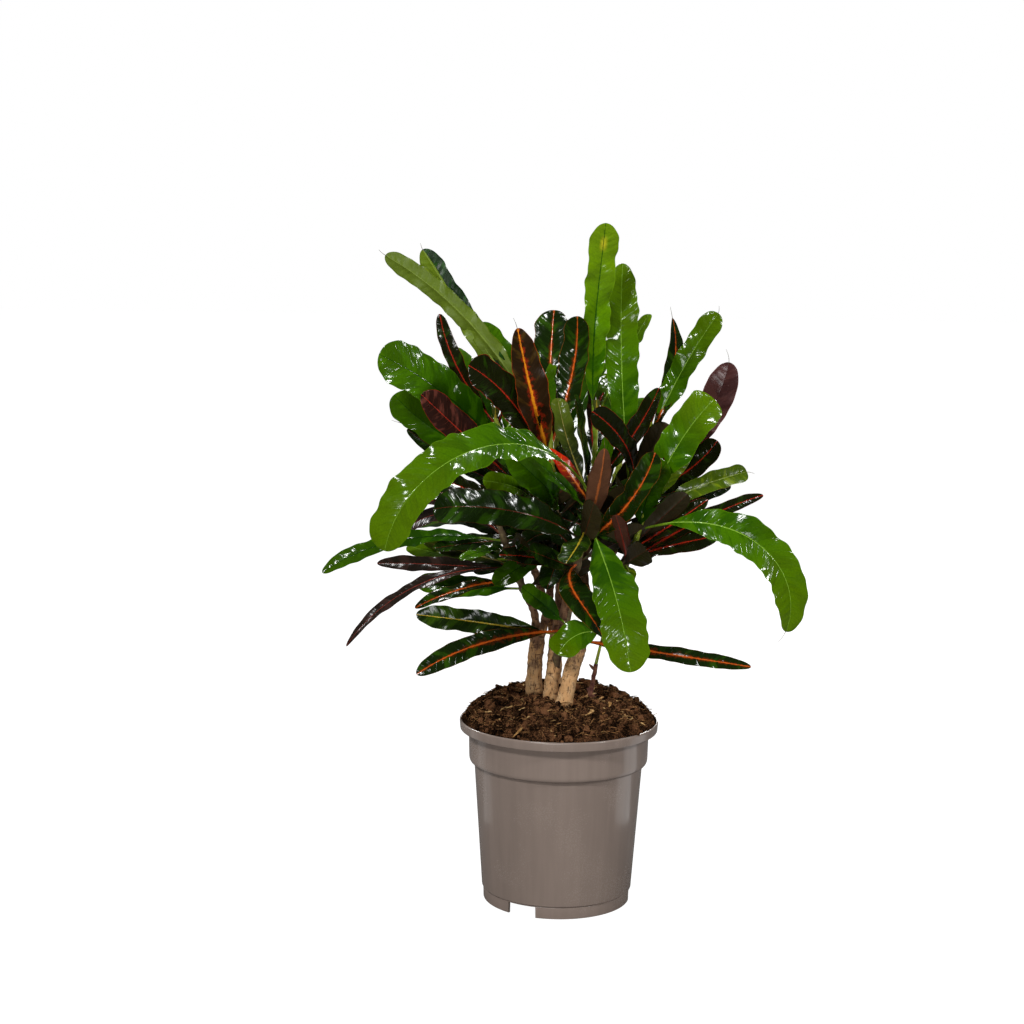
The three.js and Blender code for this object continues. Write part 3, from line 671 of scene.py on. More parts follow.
# -------------------------------------------------------------------- shaders
class Nodes:
    """Short calls that add nodes to one node tree."""

    def __init__(self, tree: bpy.types.NodeTree) -> None:
        """Takes the tree that the nodes go into."""
        self.tree = tree

    def add(self, kind: str, **settings: object) -> bpy.types.Node:
        """Adds a node of a kind and sets its properties by name."""
        node = self.tree.nodes.new(kind)
        for name, value in settings.items():
            setattr(node, name, value)
        return node

    def feed(self, target: Socket, value: object) -> None:
        """Links a socket into target, or sets target's own value."""
        if isinstance(value, bpy.types.NodeSocket):
            self.tree.links.new(value, target)
        else:
            target.default_value = value

    def math(
        self, operation: str, first: object, second: object = 0.0, clamp: bool = False
    ) -> Socket:
        """One step of arithmetic on two values."""
        node = self.add("ShaderNodeMath", operation=operation, use_clamp=clamp)
        self.feed(node.inputs[0], first)
        self.feed(node.inputs[1], second)
        return node.outputs[0]

    def times(self, first: object, second: object) -> Socket:
        """Two values multiplied."""
        return self.math("MULTIPLY", first, second)

    def plus(self, first: object, second: object) -> Socket:
        """Two values added."""
        return self.math("ADD", first, second)

    def minus(self, first: object, second: object) -> Socket:
        """The second value taken from the first."""
        return self.math("SUBTRACT", first, second)

    def size_of(self, value: object) -> Socket:
        """The value without its sign."""
        return self.math("ABSOLUTE", value)

    def shaded(self, colour: Socket, shade: Socket) -> Socket:
        """A colour made lighter or darker by a factor."""
        return self.mix(1.0, colour, self.vector(shade, shade, shade), "MULTIPLY")

    def leave(self, exit_node: bpy.types.Node, *sockets: Socket) -> bpy.types.NodeTree:
        """Feeds a pattern's outputs in their order and gives back its tree."""
        for label, socket in zip(PATTERN_OUTPUTS, sockets, strict=True):
            self.feed(exit_node.inputs[label], socket)
        return self.tree

    def mix(self, factor: object, first: object, second: object, blend: str = "MIX") -> Socket:
        """Mixes two colours by a factor."""
        node = self.add("ShaderNodeMix", data_type="RGBA", blend_type=blend)
        self.feed(node.inputs["Factor"], factor)
        self.feed(node.inputs[6], first)
        self.feed(node.inputs[7], second)
        return node.outputs[2]

    def ease(
        self, value: object, low: object, high: object, start: float = 0.0, end: float = 1.0
    ) -> Socket:
        """Maps value from low..high to start..end with eased ends."""
        node = self.add("ShaderNodeMapRange", interpolation_type="SMOOTHSTEP")
        for name, given in zip(
            ("Value", "From Min", "From Max", "To Min", "To Max"),
            (value, low, high, start, end),
            strict=True,
        ):
            self.feed(node.inputs[name], given)
        return node.outputs["Result"]

    def noise(self, vector: Socket, scale: object, detail: float, rough: float) -> Socket:
        """A noise value of about 0.3 to 0.7 at a vector."""
        node = self.add("ShaderNodeTexNoise")
        self.feed(node.inputs["Vector"], vector)
        self.feed(node.inputs["Scale"], scale)
        node.inputs["Detail"].default_value = detail
        node.inputs["Roughness"].default_value = rough
        return node.outputs["Fac"]

    def parts(self, vector: Socket) -> tuple[Socket, Socket, Socket]:
        """The three numbers of a vector."""
        node = self.add("ShaderNodeSeparateXYZ")
        self.feed(node.inputs[0], vector)
        return node.outputs[0], node.outputs[1], node.outputs[2]

    def vector(self, x: object, y: object, z: object) -> Socket:
        """A vector of three numbers."""
        node = self.add("ShaderNodeCombineXYZ")
        self.feed(node.inputs[0], x)
        self.feed(node.inputs[1], y)
        self.feed(node.inputs[2], z)
        return node.outputs[0]

    def attribute(self, name: str) -> Socket:
        """A vector attribute of the mesh."""
        return self.add("ShaderNodeAttribute", attribute_name=name).outputs["Vector"]

    def object_place(self) -> Socket:
        """The point's place in the object's own coordinates, in metres."""
        return self.add("ShaderNodeTexCoord").outputs["Object"]


PATTERN_OUTPUTS = {
    "Color": "NodeSocketColor",
    "Roughness": "NodeSocketFloat",
    "Height": "NodeSocketFloat",
}


def new_group(
    name: str, inputs: dict[str, object]
) -> tuple[Nodes, dict[str, Socket], bpy.types.Node]:
    """An empty shader node group with named inputs and the outputs of every pattern.

    Args:
        name: The group's name.
        inputs: The default of each input; a tuple makes a colour, a number a value.

    Returns:
        The group's node calls, its inputs inside the group, and its output node.
    """
    tree = bpy.data.node_groups.new(name, "ShaderNodeTree")
    for label, default in inputs.items():
        kind = "NodeSocketColor" if isinstance(default, tuple) else "NodeSocketFloat"
        socket = tree.interface.new_socket(name=label, in_out="INPUT", socket_type=kind)
        socket.default_value = default
    for label, kind in PATTERN_OUTPUTS.items():
        tree.interface.new_socket(name=label, in_out="OUTPUT", socket_type=kind)
    nodes = Nodes(tree)
    entry = nodes.add("NodeGroupInput")
    given = {label: entry.outputs[label] for label in inputs}
    return nodes, given, nodes.add("NodeGroupOutput")


# The range in which nearly all of a noise lies.
MIDDLING = (0.3, 0.7)
# Patterns in space count in metres, so this gives the noise scale for a size in mm.
PER_METRE = 1000.0
# Side veins: mm apart, how much they lean and how much they bend towards the tip.
VEIN_SPACING = 6.0
VEIN_LEAN = 0.45
VEIN_BEND = 0.02
# Two leaves whose tones differ by 1 read the noise this many mm apart.
TONE_JUMP = 97.0
# Patches are longer across the leaf by the inverse of this.
PATCH_SQUEEZE = 0.45
# The share of the blade where the lighter tip colour starts, and where it is full: partly young growth,
# partly painted light on the high leaf ends.
TIP_COLOUR_RANGE = (0.55, 1.25)
# The share of the blade with the yellow spot, its reach, and how wide it is in mm.
SPOT_PLACE = 0.88
SPOT_REACH = 0.06
SPOT_WIDTH = (0.5, 4.0)
# Puckers of the skin: cells to the mm and the height of cells and veins.
CELL_SCALE = 0.62
CELL_HEIGHT = 0.03
VEIN_HEIGHT = -0.22
# Where the value that tells a leaf's faces apart counts as under, and as over.
FACE_SPLIT = (0.45, 0.55)
# What a leaf's underside adds to the roughness.
UNDER_MATT = 0.22
HALF_LEAF_LIGHT = tint(30, 72, 8)
HALF_LEAF_DARK = tint(14, 40, 6)
SPOT_YELLOW = tint(196, 190, 40)


def leaf_pattern() -> bpy.types.NodeTree:
    """The pattern of a leaf: mottled blade, side veins, midrib, rim and underside.

    With x across and y along the blade in mm, side vein number q is
    (y - 0.45 |x| - 0.02 x^2) / spacing, plus a half on one side, so that the
    veins leave the midrib in turn and lean towards the tip. A vein shows where
    q is near a half. The midrib shows where |x| is under its width, which
    narrows towards the tip; Halo glows round it. Tip colours the outer end of
    the blade: partly the colour of young growth and partly painted light, the
    end made lighter as where the key lamp falls on high tips; the ember look's
    red tip is its own colour. Tip Spot is a yellow fleck near the tip, and Dark
    Half the half where x is above 0.

    Returns:
        The node group.
    """
    nodes, given, exit_node = new_group(
        "leaf pattern",
        {
            "Blade": tint(60, 110, 10),
            "Deep": tint(30, 70, 8),
            "Rib": tint(110, 140, 50),
            "Vein": tint(80, 130, 30),
            "Rim": tint(60, 110, 10),
            "Under": tint(110, 120, 60),
            "Petiole": tint(110, 140, 50),
            "Rib Width": 0.9,
            "Vein Spacing": VEIN_SPACING,
            "Vein Strength": 0.3,
            "Mottle": 0.5,
            "Mottle Size": 9.0,
            "Rim Width": 0.05,
            "Tip": tint(104, 128, 8),
            "Tip Light": 0.0,
            "Tip Spot": 0.0,
            "Dark Half": 0.0,
            "Halo": tint(150, 40, 16),
            "Halo Strength": 0.0,
            "Gloss": 0.22,
        },
    )
    x, y, face = nodes.parts(nodes.attribute("place"))
    u, blade, tone = nodes.parts(nodes.attribute("share"))
    away = nodes.size_of(x)
    edge = nodes.size_of(u)
    jump = nodes.times(tone, TONE_JUMP)
    lean = nodes.times(away, VEIN_LEAN)
    bend = nodes.times(nodes.times(away, away), VEIN_BEND)
    level = nodes.minus(nodes.minus(y, lean), bend)
    turn = nodes.times(nodes.math("GREATER_THAN", x, 0.0), 0.5)
    count = nodes.plus(nodes.math("DIVIDE", level, given["Vein Spacing"]), turn)
    middle = nodes.size_of(nodes.minus(nodes.math("FRACT", count), 0.5))

    spread = nodes.vector(nodes.times(x, PATCH_SQUEEZE), level, jump)
    patch = nodes.noise(spread, nodes.math("DIVIDE", 1.0, given["Mottle Size"]), 3.0, 0.6)
    low = nodes.minus(0.66, nodes.times(given["Mottle"], 0.3))
    deep = nodes.ease(patch, nodes.minus(low, 0.07), nodes.plus(low, 0.07))
    colour = nodes.mix(deep, given["Blade"], given["Deep"])

    # The lighter leaf end: partly young growth, partly painted light where the key lamp falls on the high
    # tips.
    young = nodes.ease(nodes.plus(blade, nodes.times(patch, 0.5)), *TIP_COLOUR_RANGE)
    colour = nodes.mix(nodes.times(young, given["Tip Light"]), colour, given["Tip"])

    vein = nodes.ease(middle, 0.4, 0.5)
    fading = nodes.ease(edge, 0.15, 0.9, 1.0, 0.0)
    vein_shown = nodes.times(nodes.times(vein, fading), given["Vein Strength"])
    colour = nodes.mix(vein_shown, colour, given["Vein"])

    apart = nodes.size_of(nodes.minus(blade, SPOT_PLACE))
    near = nodes.ease(apart, 0.0, SPOT_REACH, 1.0, 0.0)
    spot = nodes.times(near, nodes.ease(away, *SPOT_WIDTH, 1.0, 0.0))
    colour = nodes.mix(nodes.times(spot, given["Tip Spot"]), colour, SPOT_YELLOW)

    rim = nodes.ease(edge, nodes.minus(1.0, given["Rim Width"]), 1.0)
    colour = nodes.mix(rim, colour, given["Rim"])

    jitter = nodes.noise(nodes.vector(x, y, jump), 0.25, 3.0, 0.7)
    narrow = nodes.ease(blade, 0.0, 1.0, 1.0, 0.3)
    reach = nodes.times(given["Rib Width"], narrow)
    reach = nodes.times(reach, nodes.ease(jitter, *MIDDLING, 0.6, 1.5))
    rib = nodes.ease(away, nodes.times(reach, 0.55), reach, 1.0, 0.0)
    glow_reach = nodes.times(reach, nodes.ease(jitter, 0.35, 0.65, 1.6, 4.0))
    halo = nodes.times(nodes.ease(away, reach, glow_reach, 1.0, 0.0), given["Halo Strength"])
    colour = nodes.mix(halo, colour, given["Halo"])
    colour = nodes.mix(rib, colour, given["Rib"])

    stalk = nodes.ease(blade, -0.03, 0.04, 1.0, 0.0)
    colour = nodes.mix(stalk, colour, given["Petiole"])

    upper = nodes.ease(face, *FACE_SPLIT)
    ribbed = nodes.mix(nodes.times(rib, 0.6), given["Under"], given["Rib"])
    ribbed = nodes.mix(nodes.times(vein_shown, 0.7), ribbed, given["Vein"])
    colour = nodes.mix(upper, ribbed, colour)
    half = nodes.times(nodes.ease(u, 0.1, 0.16), given["Dark Half"])
    colour = nodes.mix(half, colour, nodes.mix(deep, HALF_LEAF_LIGHT, HALF_LEAF_DARK))

    grain = nodes.noise(nodes.vector(x, y, jump), 0.9, 4.0, 0.6)
    shade = nodes.ease(grain, *MIDDLING, 0.88, 1.1)
    shade = nodes.times(shade, nodes.ease(tone, 0.0, 1.0, 0.85, 1.12))
    colour = nodes.shaded(colour, shade)

    net = nodes.add("ShaderNodeTexVoronoi", feature="DISTANCE_TO_EDGE")
    nodes.feed(net.inputs["Vector"], spread)
    net.inputs["Scale"].default_value = CELL_SCALE
    cells = nodes.ease(net.outputs["Distance"], 0.0, 0.25)
    swell = nodes.noise(nodes.vector(x, level, jump), 0.22, 0.0, 0.4)
    height = nodes.plus(nodes.times(cells, CELL_HEIGHT), nodes.times(vein, VEIN_HEIGHT))
    height = nodes.plus(height, swell)
    wear = nodes.ease(grain, *MIDDLING, -0.02, 0.03)
    matt = nodes.ease(face, *FACE_SPLIT, UNDER_MATT, 0.0)
    gloss = nodes.plus(nodes.plus(given["Gloss"], wear), matt)
    return nodes.leave(exit_node, colour, gloss, height)


# Fissures are longer upright by the inverse of the first, rings flatter by the second.
FISSURE_STRETCH = 0.22
RING_SQUASH = 3.2
# Bark turns to its darker crown colour over this height, in metres, and this far.
CROWN_REACH = 0.03
CROWN_MOST = 0.85


def bark_pattern() -> bpy.types.NodeTree:
    """The pattern of a stem: long fissures, blotches and ring scars.

    Above the height Crown From, in metres, the bark turns darker, to the colour Crown.

    Returns:
        The node group.
    """
    nodes, given, exit_node = new_group(
        "bark pattern",
        {
            "Bark": tint(134, 109, 88),
            "Pale": tint(168, 136, 104),
            "Scar": tint(74, 56, 44),
            "Blotch Size": 6.0,
            "Scars": 0.5,
            "Ridges": 0.5,
            "Aged": tint(92, 64, 52),
            "Aged From": 1.0,
        },
    )
    place = nodes.object_place()
    x, y, z = nodes.parts(place)
    long_way = nodes.vector(x, y, nodes.times(z, FISSURE_STRETCH))
    flat_way = nodes.vector(x, y, nodes.times(z, RING_SQUASH))
    blotch = nodes.noise(place, nodes.math("DIVIDE", PER_METRE, given["Blotch Size"]), 4.0, 0.62)
    fissure = nodes.noise(long_way, 900.0, 4.0, 0.65)
    rings = nodes.noise(flat_way, 130.0, 3.0, 0.6)
    colour = nodes.mix(nodes.ease(blotch, 0.4, 0.62), given["Bark"], given["Pale"])
    uneven = nodes.plus(z, nodes.ease(blotch, 0.35, 0.65, -0.02, 0.02))
    whole = nodes.plus(given["Aged From"], CROWN_REACH)
    crown = nodes.ease(uneven, given["Aged From"], whole, 0.0, CROWN_MOST)
    colour = nodes.mix(crown, colour, given["Aged"])
    cracks = nodes.ease(fissure, 0.54, 0.64)
    colour = nodes.mix(nodes.times(cracks, given["Ridges"]), colour, given["Scar"])
    ringed = nodes.ease(rings, 0.56, 0.68)
    colour = nodes.mix(nodes.times(ringed, given["Scars"]), colour, given["Scar"])
    height = nodes.minus(nodes.times(blotch, 0.6), nodes.times(cracks, 0.7))
    height = nodes.minus(height, nodes.times(ringed, 0.4))
    return nodes.leave(exit_node, colour, nodes.ease(blotch, *MIDDLING, 0.92, 0.7), height)


def crumb_pattern() -> bpy.types.NodeTree:
    """The pattern of peat and bark bits: two tones, picked bit by bit, with grain.

    Returns:
        The node group.
    """
    nodes, given, exit_node = new_group(
        "crumb pattern",
        {"Dark": tint(32, 21, 13), "Light": tint(92, 62, 40), "Grain Size": 1.4},
    )
    place = nodes.object_place()
    tone = nodes.parts(nodes.attribute("share"))[2]
    grain = nodes.noise(place, nodes.math("DIVIDE", PER_METRE, given["Grain Size"]), 4.0, 0.7)
    broad = nodes.noise(place, 90.0, 3.0, 0.6)
    fine = nodes.ease(grain, 0.38, 0.62, -0.3, 0.6)
    blend = nodes.plus(fine, nodes.ease(broad, 0.35, 0.65, -0.25, 0.25))
    blend = nodes.math("ADD", blend, tone, clamp=True)
    colour = nodes.mix(blend, given["Dark"], given["Light"])
    return nodes.leave(exit_node, colour, nodes.ease(grain, *MIDDLING, 0.98, 0.8), grain)


def plastic_pattern() -> bpy.types.NodeTree:
    """The pattern of moulded plastic: a faint cloud of dust, drawn streaks and fine scuffs.

    Returns:
        The node group.
    """
    nodes, given, exit_node = new_group(
        "plastic pattern",
        {"Plastic": tint(138, 122, 112), "Dust": tint(160, 146, 134), "Gloss": 0.26},
    )
    place = nodes.object_place()
    x, y, z = nodes.parts(place)
    cloud = nodes.noise(place, 22.0, 3.0, 0.5)
    drawn = nodes.vector(x, y, nodes.times(z, 0.05))
    streak = nodes.noise(drawn, 160.0, 2.0, 0.5)
    speck = nodes.noise(place, 900.0, 2.0, 0.5)
    dusty = nodes.times(nodes.ease(cloud, 0.45, 0.7), 0.3)
    colour = nodes.mix(dusty, given["Plastic"], given["Dust"])
    shade = nodes.ease(streak, *MIDDLING, 0.96, 1.04)
    colour = nodes.shaded(colour, shade)
    rough = nodes.plus(given["Gloss"], nodes.ease(speck, *MIDDLING, -0.03, 0.05))
    rough = nodes.plus(rough, nodes.ease(cloud, *MIDDLING, -0.02, 0.06))
    height = nodes.plus(nodes.times(streak, 0.5), nodes.times(cloud, 1.6))
    return nodes.leave(exit_node, colour, rough, height)


class Pattern(Enum):
    """The node groups that the finishes share."""

    LEAF = "leaf pattern"
    BARK = "bark pattern"
    CRUMB = "crumb pattern"
    PLASTIC = "plastic pattern"


PATTERN_MAKERS = {
    Pattern.LEAF: leaf_pattern,
    Pattern.BARK: bark_pattern,
    Pattern.CRUMB: crumb_pattern,
    Pattern.PLASTIC: plastic_pattern,
}


@dataclass(frozen=True)
class Finish:
    """A material: a shared pattern with its own values, and the shader's own numbers.

    bump is the height in mm that the pattern's height of 1 stands for.
    """

    name: str
    pattern: Pattern
    values: dict[str, object] = field(hash=False)
    bump: float
    coat: float
    ior: float

    def material(self) -> bpy.types.Material:
        """The Blender material, made on the first call.

        Returns:
            The material with the pattern's group feeding a Principled shader.
        """
        made = bpy.data.materials.get(self.name)
        if made:
            return made
        made = bpy.data.materials.new(self.name)
        made.use_nodes = True
        made.node_tree.nodes.clear()
        nodes = Nodes(made.node_tree)
        tree = bpy.data.node_groups.get(self.pattern.value) or PATTERN_MAKERS[self.pattern]()
        group = nodes.add("ShaderNodeGroup", node_tree=tree)
        for label, value in self.values.items():
            group.inputs[label].default_value = value
        shader = nodes.add("ShaderNodeBsdfPrincipled")
        raised = nodes.add("ShaderNodeBump")
        raised.inputs["Distance"].default_value = self.bump * MM
        nodes.feed(raised.inputs["Height"], group.outputs["Height"])
        nodes.feed(shader.inputs["Base Color"], group.outputs["Color"])
        nodes.feed(shader.inputs["Roughness"], group.outputs["Roughness"])
        nodes.feed(shader.inputs["Normal"], raised.outputs["Normal"])
        shader.inputs["Coat Weight"].default_value = self.coat
        shader.inputs["IOR"].default_value = self.ior
        output = nodes.add("ShaderNodeOutputMaterial")
        nodes.feed(output.inputs["Surface"], shader.outputs["BSDF"])
        return made


# The height in mm that the leaf pattern's height of 1 stands for, and the skin's sheen.
LEAF_BUMP = 0.28
LEAF_IOR = 1.34


def new_finish(
    name: str, pattern: Pattern, bump: float, coat: float = 0.0, ior: float = 1.45, **values: object
) -> Finish:
    """A finish from the values that differ from its pattern's own.

    Args:
        name: The material's name.
        pattern: The shared pattern.
        bump: The height in mm that the pattern's height of 1 stands for.
        coat: The weight of the clear coat.
        ior: The index of refraction.
        values: The pattern's inputs, with _ for a space; three numbers are display values.

    Returns:
        The finish.
    """
    named = {
        label.replace("_", " "): tint(*value) if isinstance(value, tuple) else value
        for label, value in values.items()
    }
    return Finish(name, pattern, named, bump, coat, ior)


def leaf_finish(look: Look, coat: float = 0.0, **values: object) -> Finish:
    """The finish of one look, with the bump and the sheen that all leaves share."""
    return new_finish(f"leaf_{look.value}", Pattern.LEAF, LEAF_BUMP, coat, LEAF_IOR, **values)


# On the lime, fresh and green looks, Tip and Tip Light make the leaf ends lighter: partly young growth,
# partly painted light from the key lamp on the high tips.
LEAF_FINISHES: dict[Look, Finish] = {
    # In the lime look Vein is darker than the blade: painted shade in the furrows over the side veins.
    Look.LIME: leaf_finish(
        Look.LIME,
        Blade=(62, 104, 1), Deep=(40, 80, 1), Rib=(128, 168, 56), Vein=(38, 80, 4), Rim=(84, 122, 8),
        Under=(84, 108, 20), Petiole=(112, 142, 34), Tip=(96, 124, 3), Rib_Width=0.55, Mottle=0.45,
        Mottle_Size=14.0, Gloss=0.13, Tip_Light=0.6,
    ),
    Look.FRESH: leaf_finish(
        Look.FRESH,
        Blade=(84, 128, 3), Deep=(54, 100, 2), Rib=(40, 84, 6), Vein=(62, 104, 4), Rim=(112, 152, 20),
        Under=(100, 122, 44), Petiole=(112, 142, 34), Tip=(116, 150, 10), Rib_Width=1.1, Mottle=0.45,
        Mottle_Size=14.0, Gloss=0.13, Tip_Light=0.85, Tip_Spot=1.0,
    ),
    Look.PALE: leaf_finish(
        Look.PALE,
        Blade=(112, 132, 14), Deep=(72, 96, 8), Rib=(126, 146, 56), Vein=(96, 118, 34),
        Rim=(112, 128, 36), Under=(92, 112, 24), Petiole=(124, 146, 50), Rib_Width=1.1,
        Vein_Strength=0.4, Mottle=0.8, Mottle_Size=7.0, Gloss=0.24,
    ),
    Look.SPLIT: leaf_finish(
        Look.SPLIT,
        Blade=(104, 124, 26), Deep=(76, 98, 18), Rib=(126, 146, 56), Vein=(96, 118, 34),
        Rim=(112, 128, 36), Under=(100, 122, 24), Petiole=(124, 146, 50), Rib_Width=1.1,
        Vein_Strength=0.4, Mottle=0.8, Mottle_Size=8.0, Gloss=0.16, Dark_Half=1.0,
    ),
    Look.GREEN: leaf_finish(
        Look.GREEN,
        Blade=(58, 104, 1), Deep=(34, 74, 1), Rib=(26, 64, 5), Vein=(36, 76, 4), Rim=(66, 100, 12),
        Under=(84, 102, 38), Petiole=(104, 128, 36), Tip=(82, 116, 3), Mottle=0.7, Mottle_Size=12.0,
        Gloss=0.13, Tip_Light=0.35,
    ),
    Look.DARK: leaf_finish(
        Look.DARK,
        Blade=(42, 74, 7), Deep=(20, 36, 5), Rib=(96, 40, 24), Vein=(40, 62, 14), Rim=(56, 32, 16),
        Under=(52, 44, 24), Petiole=(80, 66, 30), Rib_Width=0.7, Mottle=0.8, Mottle_Size=12.0,
        Gloss=0.16,
    ),
    Look.ORANGE_RIB: leaf_finish(
        Look.ORANGE_RIB,
        Blade=(42, 74, 7), Deep=(20, 36, 5), Rib=(206, 92, 28), Vein=(40, 62, 14), Rim=(120, 70, 20),
        Under=(62, 56, 28), Petiole=(190, 84, 36), Halo=(120, 40, 14), Rib_Width=1.3, Mottle=0.8,
        Mottle_Size=12.0, Gloss=0.13, Halo_Strength=0.5,
    ),
    Look.RED_RIB: leaf_finish(
        Look.RED_RIB,
        Blade=(36, 62, 7), Deep=(22, 26, 6), Rib=(176, 44, 24), Vein=(42, 44, 14), Rim=(130, 30, 24),
        Under=(58, 36, 24), Petiole=(140, 44, 34), Halo=(96, 20, 14), Vein_Strength=0.25, Mottle=0.9,
        Mottle_Size=12.0, Gloss=0.13, Halo_Strength=0.4,
    ),
    Look.YELLOW_RIB: leaf_finish(
        Look.YELLOW_RIB,
        Blade=(50, 78, 10), Deep=(26, 44, 8), Rib=(196, 168, 50), Vein=(84, 112, 30),
        Rim=(110, 120, 30), Under=(80, 88, 34), Petiole=(170, 160, 60), Rib_Width=1.0, Mottle=0.7,
        Mottle_Size=12.0, Gloss=0.15,
    ),
    Look.BRONZE: leaf_finish(
        Look.BRONZE,
        Blade=(76, 54, 16), Deep=(44, 28, 10), Rib=(244, 150, 28), Vein=(76, 52, 18), Rim=(186, 70, 22),
        Under=(96, 62, 36), Petiole=(200, 90, 30), Halo=(170, 44, 14), Rib_Width=2.4, Mottle=0.8,
        Mottle_Size=10.0, Gloss=0.3, Halo_Strength=0.75,
    ),
    Look.RUSSET: leaf_finish(
        Look.RUSSET,
        Blade=(104, 58, 36), Deep=(58, 32, 20), Rib=(190, 100, 40), Vein=(102, 60, 36),
        Rim=(112, 64, 32), Under=(88, 54, 32), Petiole=(180, 170, 60), Rib_Width=1.8, Vein_Strength=0.5,
        Mottle=0.8, Mottle_Size=5.0, Gloss=0.44,
    ),
    Look.OLIVE: leaf_finish(
        Look.OLIVE,
        Blade=(44, 56, 12), Deep=(26, 34, 8), Rib=(120, 110, 50), Vein=(86, 86, 28), Rim=(70, 70, 28),
        Under=(74, 68, 28), Petiole=(120, 140, 40), Tip=(84, 100, 22), Rib_Width=0.8,
        Vein_Strength=0.35, Mottle=0.7, Mottle_Size=10.0, Tip_Light=0.9, coat=0.05,
    ),
    Look.MAROON: leaf_finish(
        Look.MAROON,
        Blade=(96, 50, 40), Deep=(44, 22, 16), Rib=(176, 48, 30), Vein=(102, 48, 32), Rim=(150, 30, 22),
        Under=(84, 48, 36), Petiole=(150, 60, 40), Vein_Strength=0.4, Mottle=0.8, Mottle_Size=7.0,
        Gloss=0.24,
    ),
    Look.MAUVE: leaf_finish(
        Look.MAUVE,
        Blade=(86, 50, 47), Deep=(64, 34, 33), Rib=(58, 24, 24), Vein=(96, 56, 52), Rim=(120, 44, 44),
        Under=(96, 54, 50), Petiole=(110, 50, 44), Rib_Width=0.8, Mottle=0.4, Mottle_Size=14.0,
        Gloss=0.24,
    ),
    Look.PURPLE: leaf_finish(
        Look.PURPLE,
        Blade=(54, 38, 32), Deep=(32, 26, 20), Rib=(120, 46, 34), Vein=(64, 46, 38), Rim=(80, 36, 34),
        Under=(66, 48, 42), Petiole=(100, 60, 44), Rib_Width=0.7, Mottle=0.7, Mottle_Size=12.0,
        Gloss=0.2,
    ),
    Look.EMBER: leaf_finish(
        Look.EMBER,
        Blade=(58, 22, 10), Deep=(34, 12, 8), Rib=(176, 84, 20), Vein=(220, 150, 30), Rim=(160, 30, 12),
        Under=(150, 60, 30), Petiole=(190, 90, 30), Tip=(196, 40, 8), Halo=(120, 34, 10), Rib_Width=1.4,
        Vein_Strength=0.75, Mottle=0.8, Mottle_Size=5.0, Gloss=0.2, Tip_Light=1.0, Halo_Strength=0.6,
    ),
}

BRISTLE = new_finish(
    "dry_bristle",
    Pattern.BARK,
    bump=0.05, Bark=(70, 58, 36), Pale=(118, 104, 62), Scar=(40, 28, 20), Blotch_Size=3.0,
)
OLD_STEM = new_finish(
    "stem_old",
    Pattern.BARK,
    bump=0.2, Bark=(84, 66, 46), Pale=(112, 96, 62), Scar=(52, 36, 28), Blotch_Size=5.0, Scars=0.6,
    Ridges=0.4,
)
YOUNG_STEM = new_finish(
    "stem_young",
    Pattern.BARK,
    bump=0.1, coat=0.2, Bark=(136, 158, 34), Pale=(172, 184, 62), Scar=(84, 84, 36), Blotch_Size=8.0,
    Scars=0.4, Ridges=0.2,
)
BARK = new_finish(
    "trunk_bark",
    Pattern.BARK,
    bump=0.5, ior=1.25, Bark=(198, 152, 104), Pale=(206, 166, 120), Scar=(66, 42, 32), Blotch_Size=7.0,
    Scars=0.7, Ridges=0.75, Aged=(116, 84, 66), Aged_From=0.2,
)
CUT_WOOD = new_finish(
    "cut_wood",
    Pattern.BARK,
    bump=0.2, Bark=(150, 122, 90), Pale=(184, 156, 118), Scar=(100, 76, 54), Blotch_Size=3.0, Scars=0.3,
)
TWIG = new_finish(
    "twig_bark",
    Pattern.BARK,
    bump=0.2, Bark=(96, 52, 44), Pale=(122, 78, 58), Scar=(58, 32, 28), Blotch_Size=4.0, Ridges=0.4,
)
PEAT = new_finish(
    "peat_crumb",
    Pattern.CRUMB,
    bump=0.6, ior=1.03, Dark=(20, 12, 7), Light=(126, 86, 58), Grain_Size=1.0,
)
FIBRE = new_finish("peat_fibre", Pattern.CRUMB, bump=0.2, ior=1.1, Dark=(36, 21, 12), Light=(178, 130, 84))
CHIP = new_finish(
    "bark_chip",
    Pattern.CRUMB,
    bump=0.25, ior=1.15, Dark=(150, 108, 62), Light=(226, 188, 128),
)
PLASTIC = new_finish(
    "moulded_plastic",
    Pattern.PLASTIC,
    bump=0.03, coat=0.15, Plastic=(146, 130, 120), Dust=(160, 144, 133), Gloss=0.2,
)


